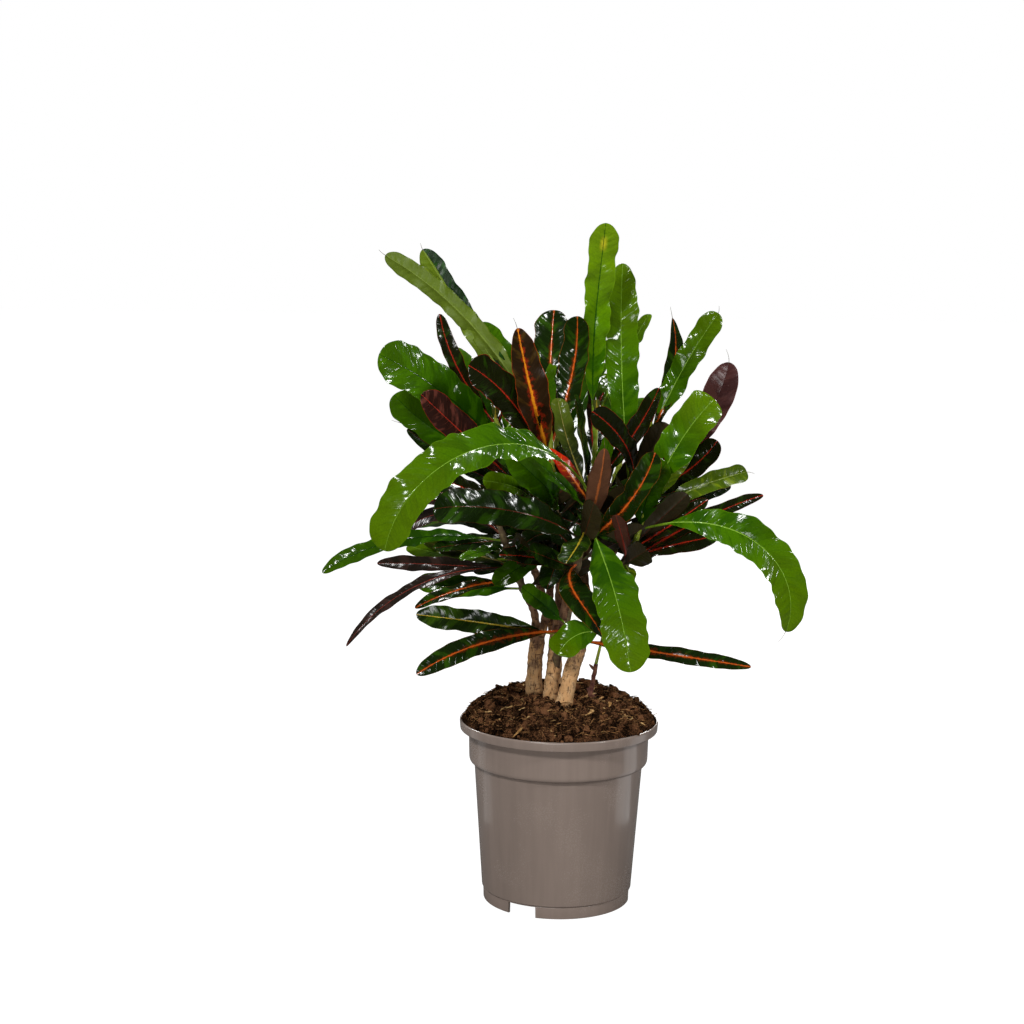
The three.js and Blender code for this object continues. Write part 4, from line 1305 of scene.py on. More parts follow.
# --------------------------------------------------------------------- pieces
@dataclass
class Piece:
    """One object of the model, gathered from surfaces and their finishes."""

    name: str
    slot: str
    nodes: tuple[str, ...] = ()
    smooth_angle: float = 60.0
    surfaces: list[tuple[Surface, Finish]] = field(default_factory=list)

    def take(self, surface: Surface, finish: Finish) -> None:
        """Adds a surface with its finish."""
        self.surfaces.append((surface, finish))

    def build(self) -> bpy.types.Object:
        """Writes the mesh, dresses it and fixes it to the model's body.

        Returns:
            The object, at the origin.
        """
        finishes = list(dict.fromkeys(finish.name for _, finish in self.surfaces))
        by_name = {finish.name: finish for _, finish in self.surfaces}
        starts = np.cumsum([0] + [len(surface.points) for surface, _ in self.surfaces])
        loops, sizes, slots = [], [], []
        for (surface, finish), start in zip(self.surfaces, starts[:-1], strict=True):
            for faces in surface.faces:
                loops.append((faces + start).ravel())
                sizes.append(np.full(len(faces), faces.shape[1]))
                slots.append(np.full(len(faces), finishes.index(finish.name)))
        mesh = bpy.data.meshes.new(self.name)
        points = np.vstack([surface.points for surface, _ in self.surfaces]) * MM
        all_loops, all_sizes = np.concatenate(loops), np.concatenate(sizes)
        mesh.vertices.add(len(points))
        mesh.vertices.foreach_set("co", points.astype(np.float32).ravel())
        mesh.loops.add(len(all_loops))
        mesh.loops.foreach_set("vertex_index", all_loops.astype(np.int32))
        mesh.polygons.add(len(all_sizes))
        mesh.polygons.foreach_set("loop_start", (np.cumsum(all_sizes) - all_sizes).astype(np.int32))
        mesh.polygons.foreach_set("material_index", np.concatenate(slots).astype(np.int32))
        for label in ("place", "share"):
            values = np.vstack([getattr(surface, label) for surface, _ in self.surfaces])
            layer = mesh.attributes.new(label, "FLOAT_VECTOR", "POINT")
            layer.data.foreach_set("vector", values.astype(np.float32).ravel())
        mesh.update(calc_edges=True)
        mesh.validate()
        mesh.polygons.foreach_set("use_smooth", np.ones(len(mesh.polygons), bool))
        mesh.set_sharp_from_angle(angle=np.radians(self.smooth_angle))
        for name in finishes:
            mesh.materials.append(by_name[name].material())
        made = bpy.data.objects.new(self.name, mesh)
        bpy.context.scene.collection.objects.link(made)
        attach(made, BODY)
        if self.nodes:
            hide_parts(*self.nodes)
        LOG.info("%s: %d faces", self.name, len(mesh.polygons))
        return made


# --------------------------------------------------------------------- leaves
DROOP_POWER = 1.5
BLADE_FOLD = 0.16
WAVE_LENGTH = 48.0
WAVE_SKEW = 0.37
WAVE_TURNS_PER_STATION = 7


@dataclass(frozen=True)
class LeafMaker:
    """Makes leaves over the same midribs, outlines and waves as the solids.

    Lengths are in mm. The crowding powers draw rows together at the tip and
    columns at the midrib. Margins swing in two wave lengths, lobe_length and
    small_lobe_length.
    """

    row_pitch: float = 1.3
    least_rows: int = 24
    columns: int = 17
    tip_crowding: float = 0.95
    midrib_crowding: float = 1.45
    base_power: float = 0.9
    tip_power: float = 2.2
    lobe_length: float = 31.0
    small_lobe_length: float = 13.0
    small_lobe: float = 0.6
    frill_length: float = 17.0
    frill: float = 0.45
    uneven_length: float = 23.0
    uneven: float = 0.35
    full_pucker_half: float = 9.0
    midrib_steps: int = 240
    petiole_half: float = 1.1
    tip_half: float = 0.6
    blade_half_thickness: float = 0.3
    rib_height: float = 1.0
    rib_half_width: float = 1.0
    groove: float = 0.3

    def frames(self, leaf: Leaf, shares: np.ndarray) -> tuple[np.ndarray, np.ndarray, np.ndarray]:
        """The directions ahead, sideways and up at each share of a leaf.

        The slope is rise - droop share^1.5 and the heading is heading + sway
        share. The blade then leans by roll about its midrib, all of it past
        the first quarter.

        Args:
            leaf: The leaf.
            shares: Shares of its length.

        Returns:
            Unit vectors ahead, sideways and up.
        """
        slope = np.radians(leaf.rise - leaf.droop * shares**DROOP_POWER)
        flat = level_ways(np.radians(leaf.heading + leaf.sway * shares))
        ahead = flat * np.cos(slope)[:, None]
        ahead[:, 2] = np.sin(slope)
        side = np.stack([-flat[:, 1], flat[:, 0], flat[:, 2]], -1)
        up = -flat * np.sin(slope)[:, None]
        up[:, 2] = np.cos(slope)
        lean = np.radians(leaf.roll) * np.minimum(1, shares * 4)
        swing, rest = np.sin(lean)[:, None], np.cos(lean)[:, None]
        return ahead, side * rest - up * swing, up * rest + side * swing

    def midrib(self, leaf: Leaf, root: np.ndarray, shares: np.ndarray) -> np.ndarray:
        """The midrib's points: the sum of the directions ahead from the root."""
        middles = (np.arange(self.midrib_steps) + 0.5) / self.midrib_steps
        steps = self.frames(leaf, middles)[0] * leaf.length / self.midrib_steps
        line = root + np.vstack([np.zeros(3), np.cumsum(steps, axis=0)])
        known = np.linspace(0, 1, self.midrib_steps + 1)
        return np.stack([np.interp(shares, known, line[:, axis]) for axis in range(3)], -1)

    def half_widths(self, leaf: Leaf, blade: np.ndarray) -> np.ndarray:
        """Half the width: sin(pi/2 blade/full)^0.9 times an oval tip, above a floor.

        Args:
            leaf: The leaf.
            blade: Shares of the blade, 0 or less on the petiole.

        Returns:
            Half widths in mm.
        """
        shape = BLADES[leaf.kind]
        base = np.sin(np.pi / 2 * np.clip(blade / shape.full, 0, 1)) ** self.base_power
        past = np.clip((blade - shape.round) / (1 - shape.round), 0, 1)
        outline = base * np.sqrt(np.maximum(0, 1 - past**self.tip_power))
        blunt = self.tip_half * np.sqrt(np.maximum(0, 1 - past**8))
        floor = np.where(blade > 0.9, blunt, self.petiole_half)
        return np.maximum(floor, leaf.width / 2 * outline)

    def make(self, leaf: Leaf, root: np.ndarray, seed: int) -> Surface:
        """One closed leaf.

        The middle surface is midrib + side u half + up lift, with u from -1 to
        1 across. half also swings in and out by the kind's lobe. lift folds
        the blade by 0.16 |u| half, waves its margins as the solids do, adds a
        frill u^2 times a finer wave, and puckers it between the side veins by
        |cos(pi q)|^0.7, q being the side vein number. The two faces lie a half
        thickness off it, with a groove over the midrib and a ridge under it,
        and meet at the margin.

        Args:
            leaf: The leaf.
            root: Where its petiole starts, in mm.
            seed: The draw of its small waves and of its tone.

        Returns:
            The leaf's surface.
        """
        shape = BLADES[leaf.kind]
        draw = np.random.default_rng(seed)
        rows = max(self.least_rows, round(leaf.length / self.row_pitch))
        spread = np.linspace(0, 1, rows + 1)
        shares = np.sin(np.pi / 2 * spread**self.tip_crowding)
        blade = (shares - shape.petiole) / (1 - shape.petiole)
        inside = np.clip(blade, 0, 1)
        slots = np.linspace(-1, 1, self.columns)
        u = (np.sign(slots) * np.abs(slots) ** self.midrib_crowding)[None, :]
        centre = self.midrib(leaf, root, shares)
        _, side, up = self.frames(leaf, shares)

        in_blade = np.clip(blade * 8, 0, 1)[:, None]
        along = (shares * leaf.length)[:, None]
        phases = draw.uniform(0, 2 * np.pi, 6)
        wide = np.where(u < 0, phases[0], phases[1])
        fine = np.where(u < 0, phases[2], phases[3])
        round_along = along * 2 * np.pi
        lobes = np.sin(round_along / self.lobe_length + wide)
        lobes = lobes + self.small_lobe * np.sin(round_along / self.small_lobe_length + fine)
        half = self.half_widths(leaf, blade)[:, None] * (1 + shape.lobe * lobes * in_blade)
        x = u * half

        waves = leaf.length / WAVE_LENGTH
        skew = WAVE_SKEW * np.sign(u)
        swing = np.sin(2 * np.pi * (waves * inside[:, None] + skew + leaf.station * WAVE_TURNS_PER_STATION))
        taper = np.sin(np.pi * inside)[:, None]
        ripple = shape.wave * swing * in_blade * taper
        frill = self.frill * shape.wave * u**2 * np.sin(round_along / self.frill_length + fine) * taper
        number = (along - VEIN_LEAN * np.abs(x) - VEIN_BEND * x**2) / VEIN_SPACING + 0.5 * (u > 0)
        bulge = np.abs(np.cos(np.pi * number)) ** 0.7 * np.sin(np.pi * np.abs(u) ** 0.8)
        uneven = 1 - self.uneven + self.uneven * np.sin(round_along / self.uneven_length + wide)
        lift = np.abs(u) * BLADE_FOLD * half * in_blade + np.abs(u) * ripple + frill
        lift = lift + shape.pucker * bulge * uneven * in_blade * np.minimum(1, half / self.full_pucker_half)

        arch = np.sqrt(1 - u**2)
        thick = self.blade_half_thickness * arch * in_blade
        thick = thick + self.petiole_half * 0.9 * arch * (1 - in_blade)
        ridge = np.exp(-((x / self.rib_half_width) ** 2)) * in_blade
        strong = self.rib_height * (1 - 0.85 * inside[:, None])
        at_tip, at_root = np.clip((1 - shares) * 30, 0, 1), np.clip(shares * 60, 0, 1)
        closing = np.sqrt(at_tip)[:, None] * np.sqrt(at_root)[:, None]
        above = (thick - self.groove * ridge * (1 - inside[:, None])) * closing
        below = (thick + strong * ridge) * closing
        above[:, [0, -1]] = 0
        middle = centre[:, None, :] + side[:, None, :] * x[..., None] + up[:, None, :] * lift[..., None]
        upper = middle + up[:, None, :] * above[..., None]
        lower = middle - up[:, None, :] * below[..., None]

        count = (rows + 1) * self.columns
        top = np.arange(count).reshape(rows + 1, self.columns)
        under = top.copy()
        inner = np.arange((rows - 1) * (self.columns - 2)).reshape(rows - 1, -1)
        under[1:-1, 1:-1] = count + inner
        points = np.vstack([upper.reshape(-1, 3), lower[1:-1, 1:-1].reshape(-1, 3)])
        upper_place = np.stack(np.broadcast_arrays(x, along, 1.0), -1)
        upper_share = np.stack(np.broadcast_arrays(u, blade[:, None], draw.uniform()), -1)
        lower_place, lower_share = upper_place[1:-1, 1:-1].copy(), upper_share[1:-1, 1:-1]
        lower_place[..., 2] = 0
        place = np.vstack([upper_place.reshape(-1, 3), lower_place.reshape(-1, 3)])
        share = np.vstack([upper_share.reshape(-1, 3), lower_share.reshape(-1, 3)])
        upper_faces = grid_faces(top)[:, ::-1]
        return Surface(points, [upper_faces, grid_faces(under)], place, share)


@dataclass(frozen=True)
class BristleMaker:
    """Makes the dry thread that some leaves keep at their tip."""

    leaves: LeafMaker = LeafMaker()
    length: tuple[float, float] = (5.0, 11.0)
    most_bow: float = 4.0
    radius: float = 0.28
    taper: float = 0.6
    hold: float = 2.0
    points: int = 9
    sides: int = 5

    def make(self, leaf: Leaf, root: np.ndarray, seed: int) -> Surface:
        """A thread that carries on past the leaf's tip and bends aside.

        It starts a little before the tip, inside the blade. At share t its
        place is tip + ahead (l t - hold) + side bow t^2 + up 0.5 bow t^2, and
        it narrows towards its end.

        Args:
            leaf: The leaf that carries it.
            root: Where that leaf's petiole starts, in mm.
            seed: The draw of its length and its bend.

        Returns:
            The thread.
        """
        draw = np.random.default_rng(seed)
        ahead, side, up = (way[0] for way in self.leaves.frames(leaf, np.array([1.0])))
        tip = self.leaves.midrib(leaf, root, np.array([1.0]))[0]
        t = np.linspace(0, 1, self.points)[:, None]
        bow = draw.uniform(-self.most_bow, self.most_bow)
        length = draw.uniform(*self.length) + self.hold
        path = tip + ahead * (length * t - self.hold) + side * bow * t**2 + up * 0.5 * bow * t**2
        radii = self.radius * (1 - self.taper * t[:, 0])
        return tube(path, radii, self.sides, tone=draw.uniform())


# Leaves that end in a dry thread, by their number in the shoot.
BRISTLED: dict[str, tuple[int, ...]] = {
    "centre": (5, 7, 9),
    "centre_back": (4,),
    "right_back": (5, 7, 8),
    "right_front": (6, 7),
    "front": (3, 8),
    "back_left": (2, 5),
    "back_mid": (1, 6),
    "back_right": (3, 7),
}


@dataclass(frozen=True)
class ShootMaker:
    """Dresses each leafy shoot: its stem, its nodes, its leaves and its bud."""

    leaves: LeafMaker = LeafMaker()
    bristles: BristleMaker = BristleMaker()
    stem_sides: int = 12
    stem_pitch: float = 1.5
    young_radius: float = 2.4
    stem_taper: float = 0.3
    end_rounding: float = 0.6
    node_swelling: float = 0.35
    node_reach: float = 2.2
    bud_headings: tuple[float, ...] = (20.0, 150.0, 265.0)
    bud_station: float = 0.985
    bud_rise: float = 74.0
    bud_droop: float = 12.0
    bud_length: float = 17.0
    bud_step: float = 3.0
    bud_width: float = 6.0
    seeds_per_shoot: int = 100
    bud_seed: int = 50
    thread_seed: int = 700
    inner_count: int = 4
    inner_first: float = 0.05
    inner_step: float = 0.09
    inner_start: float = 57.0
    inner_turn: float = 137.5
    inner_rise: float = 20.0
    inner_lift: float = 8.0
    inner_length: float = 60.0
    inner_width: float = 22.0
    inner_roll: float = 55.0

    def inner_leaves(self, name: str, plan: ShootPlan) -> tuple[Leaf, ...]:
        """Small dark leaves low on a stem, at even steps, each a golden angle on.

        Args:
            name: The shoot's name; its place in the table gives the first heading.
            plan: Its path and leaves.

        Returns:
            The leaves, none on the two thin stems.
        """
        if plan.radius != ShootPlan.radius:
            return ()
        first = self.inner_start * list(SHOOTS).index(name)
        return tuple(
            Leaf(
                kind=Kind.DARK,
                station=self.inner_first + self.inner_step * number,
                heading=(first + self.inner_turn * number) % 360,
                rise=self.inner_rise + self.inner_lift * number,
                droop=0,
                sway=0,
                length=self.inner_length,
                width=self.inner_width,
                roll=self.inner_roll,
            )
            for number in range(self.inner_count)
        )

    def stem(self, plan: ShootPlan, start: float, end: float, radius: float) -> Surface:
        """A stem with a swelling at each leaf, thinner towards its tip.

        Its radius is r (1 - 0.3 share) (1 + sum of 0.35 e^(-(d / 2.2)^2)), d
        being the distance in mm to a leaf's root.
        """
        line = quadratic(plan.path, np.linspace(0, 1, 60))
        length = np.linalg.norm(np.diff(line, axis=0), axis=1).sum()
        count = max(6, round(length * (end - start) / self.stem_pitch))
        shares = np.linspace(start, end, count)
        swell = np.ones(count)
        for leaf in plan.leaves:
            apart = (shares - leaf.station) * length
            swell += self.node_swelling * np.exp(-((apart / self.node_reach) ** 2))
        radii = radius * (1 - self.stem_taper * shares) * swell
        radii[-1] *= self.end_rounding
        return tube(quadratic(plan.path, shares), radii, self.stem_sides)

    def bud(self, plan: ShootPlan, seed: int) -> list[tuple[Surface, Finish]]:
        """Three small folded leaves at the shoot's tip."""
        tip = quadratic(plan.path, np.array([self.bud_station]))[0]
        made = []
        for number, heading in enumerate(self.bud_headings):
            length = self.bud_length - self.bud_step * number
            young = Leaf(
                Kind.DARK, 0.98, heading, self.bud_rise, self.bud_droop, 0, length, self.bud_width, 0
            )
            finish = LEAF_FINISHES[Look.YELLOW_RIB if number else Look.MAROON]
            made.append((self.leaves.make(young, tip, seed + number), finish))
        return made

    def part(self, name: str, plan: ShootPlan, young: bool, seed: int) -> Piece:
        """The old or the young part of a shoot.

        Args:
            name: The shoot's name.
            plan: Its path and leaves.
            young: Whether this is the part past the split.
            seed: The first seed for its leaves.

        Returns:
            The piece, which replaces the solid of the same part.
        """
        whole = plan.split == 1.0
        suffix = "" if whole else ("_young" if young else "_old")
        start, end = (plan.split, 1.0) if young else (0.0, plan.split)
        fresh = young or name == "twig"
        slot = "leaf_young" if fresh else "leaf_old"
        piece = Piece(f"leaves_{name}{suffix}", slot, (f"shoot_{name}{suffix}",))
        radius = self.young_radius if young else plan.radius
        piece.take(self.stem(plan, start, end, radius), YOUNG_STEM if fresh else OLD_STEM)
        for number, leaf in enumerate(plan.leaves + self.inner_leaves(name, plan)):
            if start <= leaf.station < end:
                root = quadratic(plan.path, np.array([leaf.station]))[0]
                piece.take(self.leaves.make(leaf, root, seed + number), LEAF_FINISHES[leaf.look])
                if number in BRISTLED.get(name, ()):
                    thread = self.bristles.make(leaf, root, seed + number + self.thread_seed)
                    piece.take(thread, BRISTLE)
        if end == 1.0 and name != "twig":
            for surface, finish in self.bud(plan, seed + self.bud_seed):
                piece.take(surface, finish)
        return piece

    def build(self) -> None:
        """Builds every shoot, part by part."""
        for order, (name, plan) in enumerate(SHOOTS.items()):
            seed = self.seeds_per_shoot * order
            self.part(name, plan, False, seed).build()
            if plan.split < 1.0:
                self.part(name, plan, True, seed).build()


# --------------------------------------------------------------------- trunks
@dataclass(frozen=True)
class TrunkMaker:
    """Dresses the woody trunks and the branches that rise from them."""

    sides: int = 48
    pitch: float = 0.8
    flare: float = 0.22
    flare_height: float = 10.0
    soil_level: float = 172.0
    skin: float = 0.97
    end_rounding: float = 0.93
    scar_height: float = 0.75
    scar_start: float = 34.0
    scar_pitch: float = 8.5
    scar_shift: float = 2.0
    scar_reach: float = 1.6
    scar_grip: float = 2.2
    branch_radius: float = 3.2
    branch_points: int = 70
    branch_sides: int = 16
    branch_skin_radius: float = 3.0
    branch_ring_pitch: float = 7.5
    branch_ring_height: float = 0.22
    clearance: float = 0.3
    branch_bend: float = 0.4
    bud_turn: float = 2.4
    bud_radius: float = 1.3
    trunk_seed: int = 40
    branch_seed: int = 60
    bud_seed: int = 80

    def trunk(self, plan: TrunkPlan, seed: int) -> Surface:
        """A trunk whose bark swells, dips and carries the scars of old leaves.

        The radius is 0.97 r (1 + flare e^(-(z - soil) / 10)) plus ripples in
        space, with raised scars under 1 mm high where leaves once grew.
        """
        rough = spline(np.array(plan.route), 200)
        length = np.linalg.norm(np.diff(rough, axis=0), axis=1).sum()
        count = round(length / self.pitch)
        path = spline(np.array(plan.route), count)
        angles = round_angles(self.sides)
        height = path[:, 2] - self.soil_level
        flare = 1 + self.flare * np.exp(-np.clip(height, 0, None) / self.flare_height)
        skin = path[:, None, :] + plan.radius * level_ways(angles)
        along = np.linspace(0, length, count)[:, None]
        draw = np.random.default_rng(seed)
        scars = np.zeros((count, self.sides))
        places = np.arange(self.scar_start, length, self.scar_pitch)
        for place in places + draw.uniform(-self.scar_shift, self.scar_shift, len(places)):
            facing = np.cos(angles - draw.uniform(0, 2 * np.pi)) - 1
            near = np.exp(-(((along - place) / self.scar_reach) ** 2))
            scars += near * np.exp(self.scar_grip * facing) * draw.uniform(0.5, 1.0)
        uneven = 0.35 * ripples(skin, 14, seed) + 0.16 * ripples(skin, 3.5, seed + 1)
        radii = plan.radius * self.skin * flare[:, None] + uneven + self.scar_height * scars
        radii[-1] *= self.end_rounding
        return tube(path, radii, self.sides, tone=draw.uniform())

    def branch(self, root: Point, shoot: str, seed: int) -> Surface:
        """A branch from its trunk to the foot of a shoot, ringed by leaf scars."""
        stem = quadratic(SHOOTS[shoot].path, np.array([0.0, 0.01]))
        ahead = unit(stem[1] - stem[0])
        start, end = np.array(root, float), stem[0] - ahead * self.clearance
        bend = stem[0] - ahead * self.branch_bend * np.linalg.norm(stem[0] - start)
        path = spline(np.array([start, bend, end]), self.branch_points)
        along = np.linspace(0, 1, self.branch_points)[:, None]
        turns = along * np.linalg.norm(end - start) * 2 * np.pi / self.branch_ring_pitch
        rings = self.branch_ring_height * np.cos(turns)
        ways = level_ways(round_angles(self.branch_sides))
        skin = path[:, None, :] + self.branch_skin_radius * ways
        radii = self.branch_radius * (1.12 - 0.2 * along) + rings + 0.14 * ripples(skin, 6, seed)
        return tube(path, radii, self.branch_sides)

    def twig_buds(self, plan: TrunkPlan, seed: int) -> list[Surface]:
        """Small pointed buds that stand off a bare twig, one way and the other.

        Each is a rod from the twig's middle along a way that leans out by 37
        degrees, with the radius 1.3 sin(pi (0.12 + 0.85 t))^0.8 at share t.
        """
        draw = np.random.default_rng(seed)
        path = spline(np.array(plan.route), 60)
        t = np.linspace(0, 1, 10)
        made = []
        for number, station in enumerate(range(30, 60, 6)):
            out = level_ways(np.array(self.bud_turn * number))
            way = unit(out * 0.75 + np.array([0, 0, 1]))
            long = draw.uniform(5, 8)
            line = path[station] + way * (long * t)[:, None] + out * (0.9 * t**2)[:, None]
            radii = self.bud_radius * np.sin(np.pi * (0.12 + 0.85 * t)) ** 0.8
            made.append(tube(line, radii, 8))
        return made

    def cut_end(self, plan: TrunkPlan) -> Surface:
        """The pale sawn end of a trunk, a low disc just proud of the bark."""
        route = np.array(plan.route, float)
        ahead = unit(route[-1] - route[-2])
        path = route[-1] + ahead * np.array([[-0.6], [0.15], [0.3]])
        return tube(path, plan.radius * np.array([0.88, 0.88, 0.78]), self.sides)

    def build(self) -> None:
        """Builds each trunk with its branches."""
        for order, (name, plan) in enumerate(TRUNKS.items()):
            piece = Piece(f"bark_{name}", "bark", (name,))
            thin = name == "twig_right"
            piece.take(self.trunk(plan, self.trunk_seed + order), TWIG if thin else BARK)
            if not thin:
                piece.take(self.cut_end(plan), CUT_WOOD)
            for bud in self.twig_buds(plan, self.bud_seed) if thin else []:
                piece.take(bud, TWIG)
            for shoot, root in plan.branches.items():
                branch = self.branch(root, shoot, self.branch_seed + order)
                piece.take(branch, OLD_STEM if shoot == "low" else BARK)
            piece.build()


# ------------------------------------------------------------------ pot, soil
@dataclass(frozen=True)
class Pot:
    """The moulded pot, with the sizes of the solid. Lengths are in mm.

    notch_turn is the heading of the first notch and sharpest_turn the largest
    angle that is shaded smooth, both in degrees. Each side of a notch stands
    over twice notch_side, in radians, and its top is notch_roof below the floor.
    """

    height: float = 152.6
    rim_radius: float = 82.5
    rim_depth: float = 8.0
    collar_top_radius: float = 74.9
    collar_foot_radius: float = 74.3
    collar_foot_z: float = 117.6
    body_top_radius: float = 70.0
    body_foot_radius: float = 62.5
    foot_radius: float = 61.4
    foot_height: float = 9.8
    foot_wall: float = 2.4
    wall: float = 1.6
    notch_count: int = 3
    notch_width: float = 25.0
    notch_turn: float = 241.0
    notch_side: float = 0.0015
    notch_roof: float = 0.5
    columns: int = 288
    corner_steps: int = 5
    sharpest_turn: float = 38.0

    def rounded(self, corners: list[tuple[float, float, float]]) -> np.ndarray:
        """A profile whose corners are arcs.

        Each corner is cut back by its radius along both sides, or less where a
        side is short, and a quadratic curve with the corner as its control
        point joins the two cuts.

        Args:
            corners: Radius, height and rounding of each corner, in mm.

        Returns:
            The points of the profile.
        """
        points = np.array([corner[:2] for corner in corners], float)
        made = [points[:1]]
        t = np.linspace(0, 1, self.corner_steps)[:, None]
        for number in range(1, len(points) - 1):
            before, here, after = points[number - 1 : number + 2]
            size = corners[number][2]
            back = min(size, 0.45 * np.linalg.norm(before - here))
            on = min(size, 0.45 * np.linalg.norm(after - here))
            start = here + unit(before - here) * back
            end = here + unit(after - here) * on
            made.append((1 - t) ** 2 * start + 2 * t * (1 - t) * here + t**2 * end)
        made.append(points[-1:])
        return np.vstack(made)

    def profile(self) -> np.ndarray:
        """The wall's section: under the floor, up outside, over the rim, down inside."""
        rim_foot = self.height - self.rim_depth
        foot_inner = self.foot_radius - self.foot_wall
        rim_inner = self.rim_radius - self.wall
        return self.rounded(
            [
                (0, self.foot_height - 0.4, 0),
                (foot_inner, self.foot_height - 0.4, 0.5),
                (foot_inner, 0, 0.4),
                (self.foot_radius - 0.3, 0, 0.5),
                (self.foot_radius, self.foot_height - 0.3, 0.3),
                (self.foot_radius - 0.5, self.foot_height, 0.2),
                (self.body_foot_radius, self.foot_height + 0.9, 0.6),
                (self.body_top_radius, self.collar_foot_z - 1.4, 0.8),
                (self.collar_foot_radius - 0.8, self.collar_foot_z, 1.0),
                (self.collar_foot_radius, self.collar_foot_z + 2.2, 1.6),
                (self.collar_top_radius, rim_foot - 0.2, 0.5),
                (self.rim_radius - 0.5, rim_foot, 0.9),
                (self.rim_radius, self.height - 0.9, 1.0),
                (self.rim_radius - 0.8, self.height, 0.7),
                (rim_inner, self.height - 0.3, 0.5),
                (rim_inner - 0.4, rim_foot + self.wall + 0.4, 0.6),
                (self.collar_top_radius - self.wall, rim_foot + self.wall, 0.5),
                (self.collar_foot_radius - self.wall, self.collar_foot_z + self.wall + 0.4, 0.6),
                (self.body_top_radius - self.wall, self.collar_foot_z - 0.6, 0.6),
                (self.body_foot_radius - self.wall, self.foot_height + 2, 1.2),
                (0, self.foot_height + self.wall, 0),
            ]
        )

    def build(self) -> None:
        """Builds the pot, its foot ring open at the notches."""
        half = np.arcsin(self.notch_width / 2 / self.foot_radius)
        centres = np.radians(self.notch_turn + np.arange(self.notch_count) * 360 / self.notch_count)
        even = round_angles(self.columns)
        sides = np.concatenate([centres - half, centres + half])
        step = np.array([-self.notch_side, self.notch_side])
        angles = np.sort(np.concatenate([even, (sides[:, None] + step).ravel()]) % (2 * np.pi))
        apart = (angles[:, None] - centres + np.pi) % (2 * np.pi) - np.pi
        inside = (np.abs(apart) < half).any(1)
        raised = np.where(inside, self.foot_height - self.notch_roof, -1.0)
        piece = Piece("pot_shell", "pot_plastic", ("pot",), smooth_angle=self.sharpest_turn)
        piece.take(lathe(self.profile(), angles, raised), PLASTIC)
        piece.build()


@dataclass(frozen=True)
class Slivers:
    """A kind of sliver on the peat: how many, least and greatest sizes in mm, finish."""

    count: int
    length: tuple[float, float]
    radius: tuple[float, float]
    squash: float
    finish: Finish


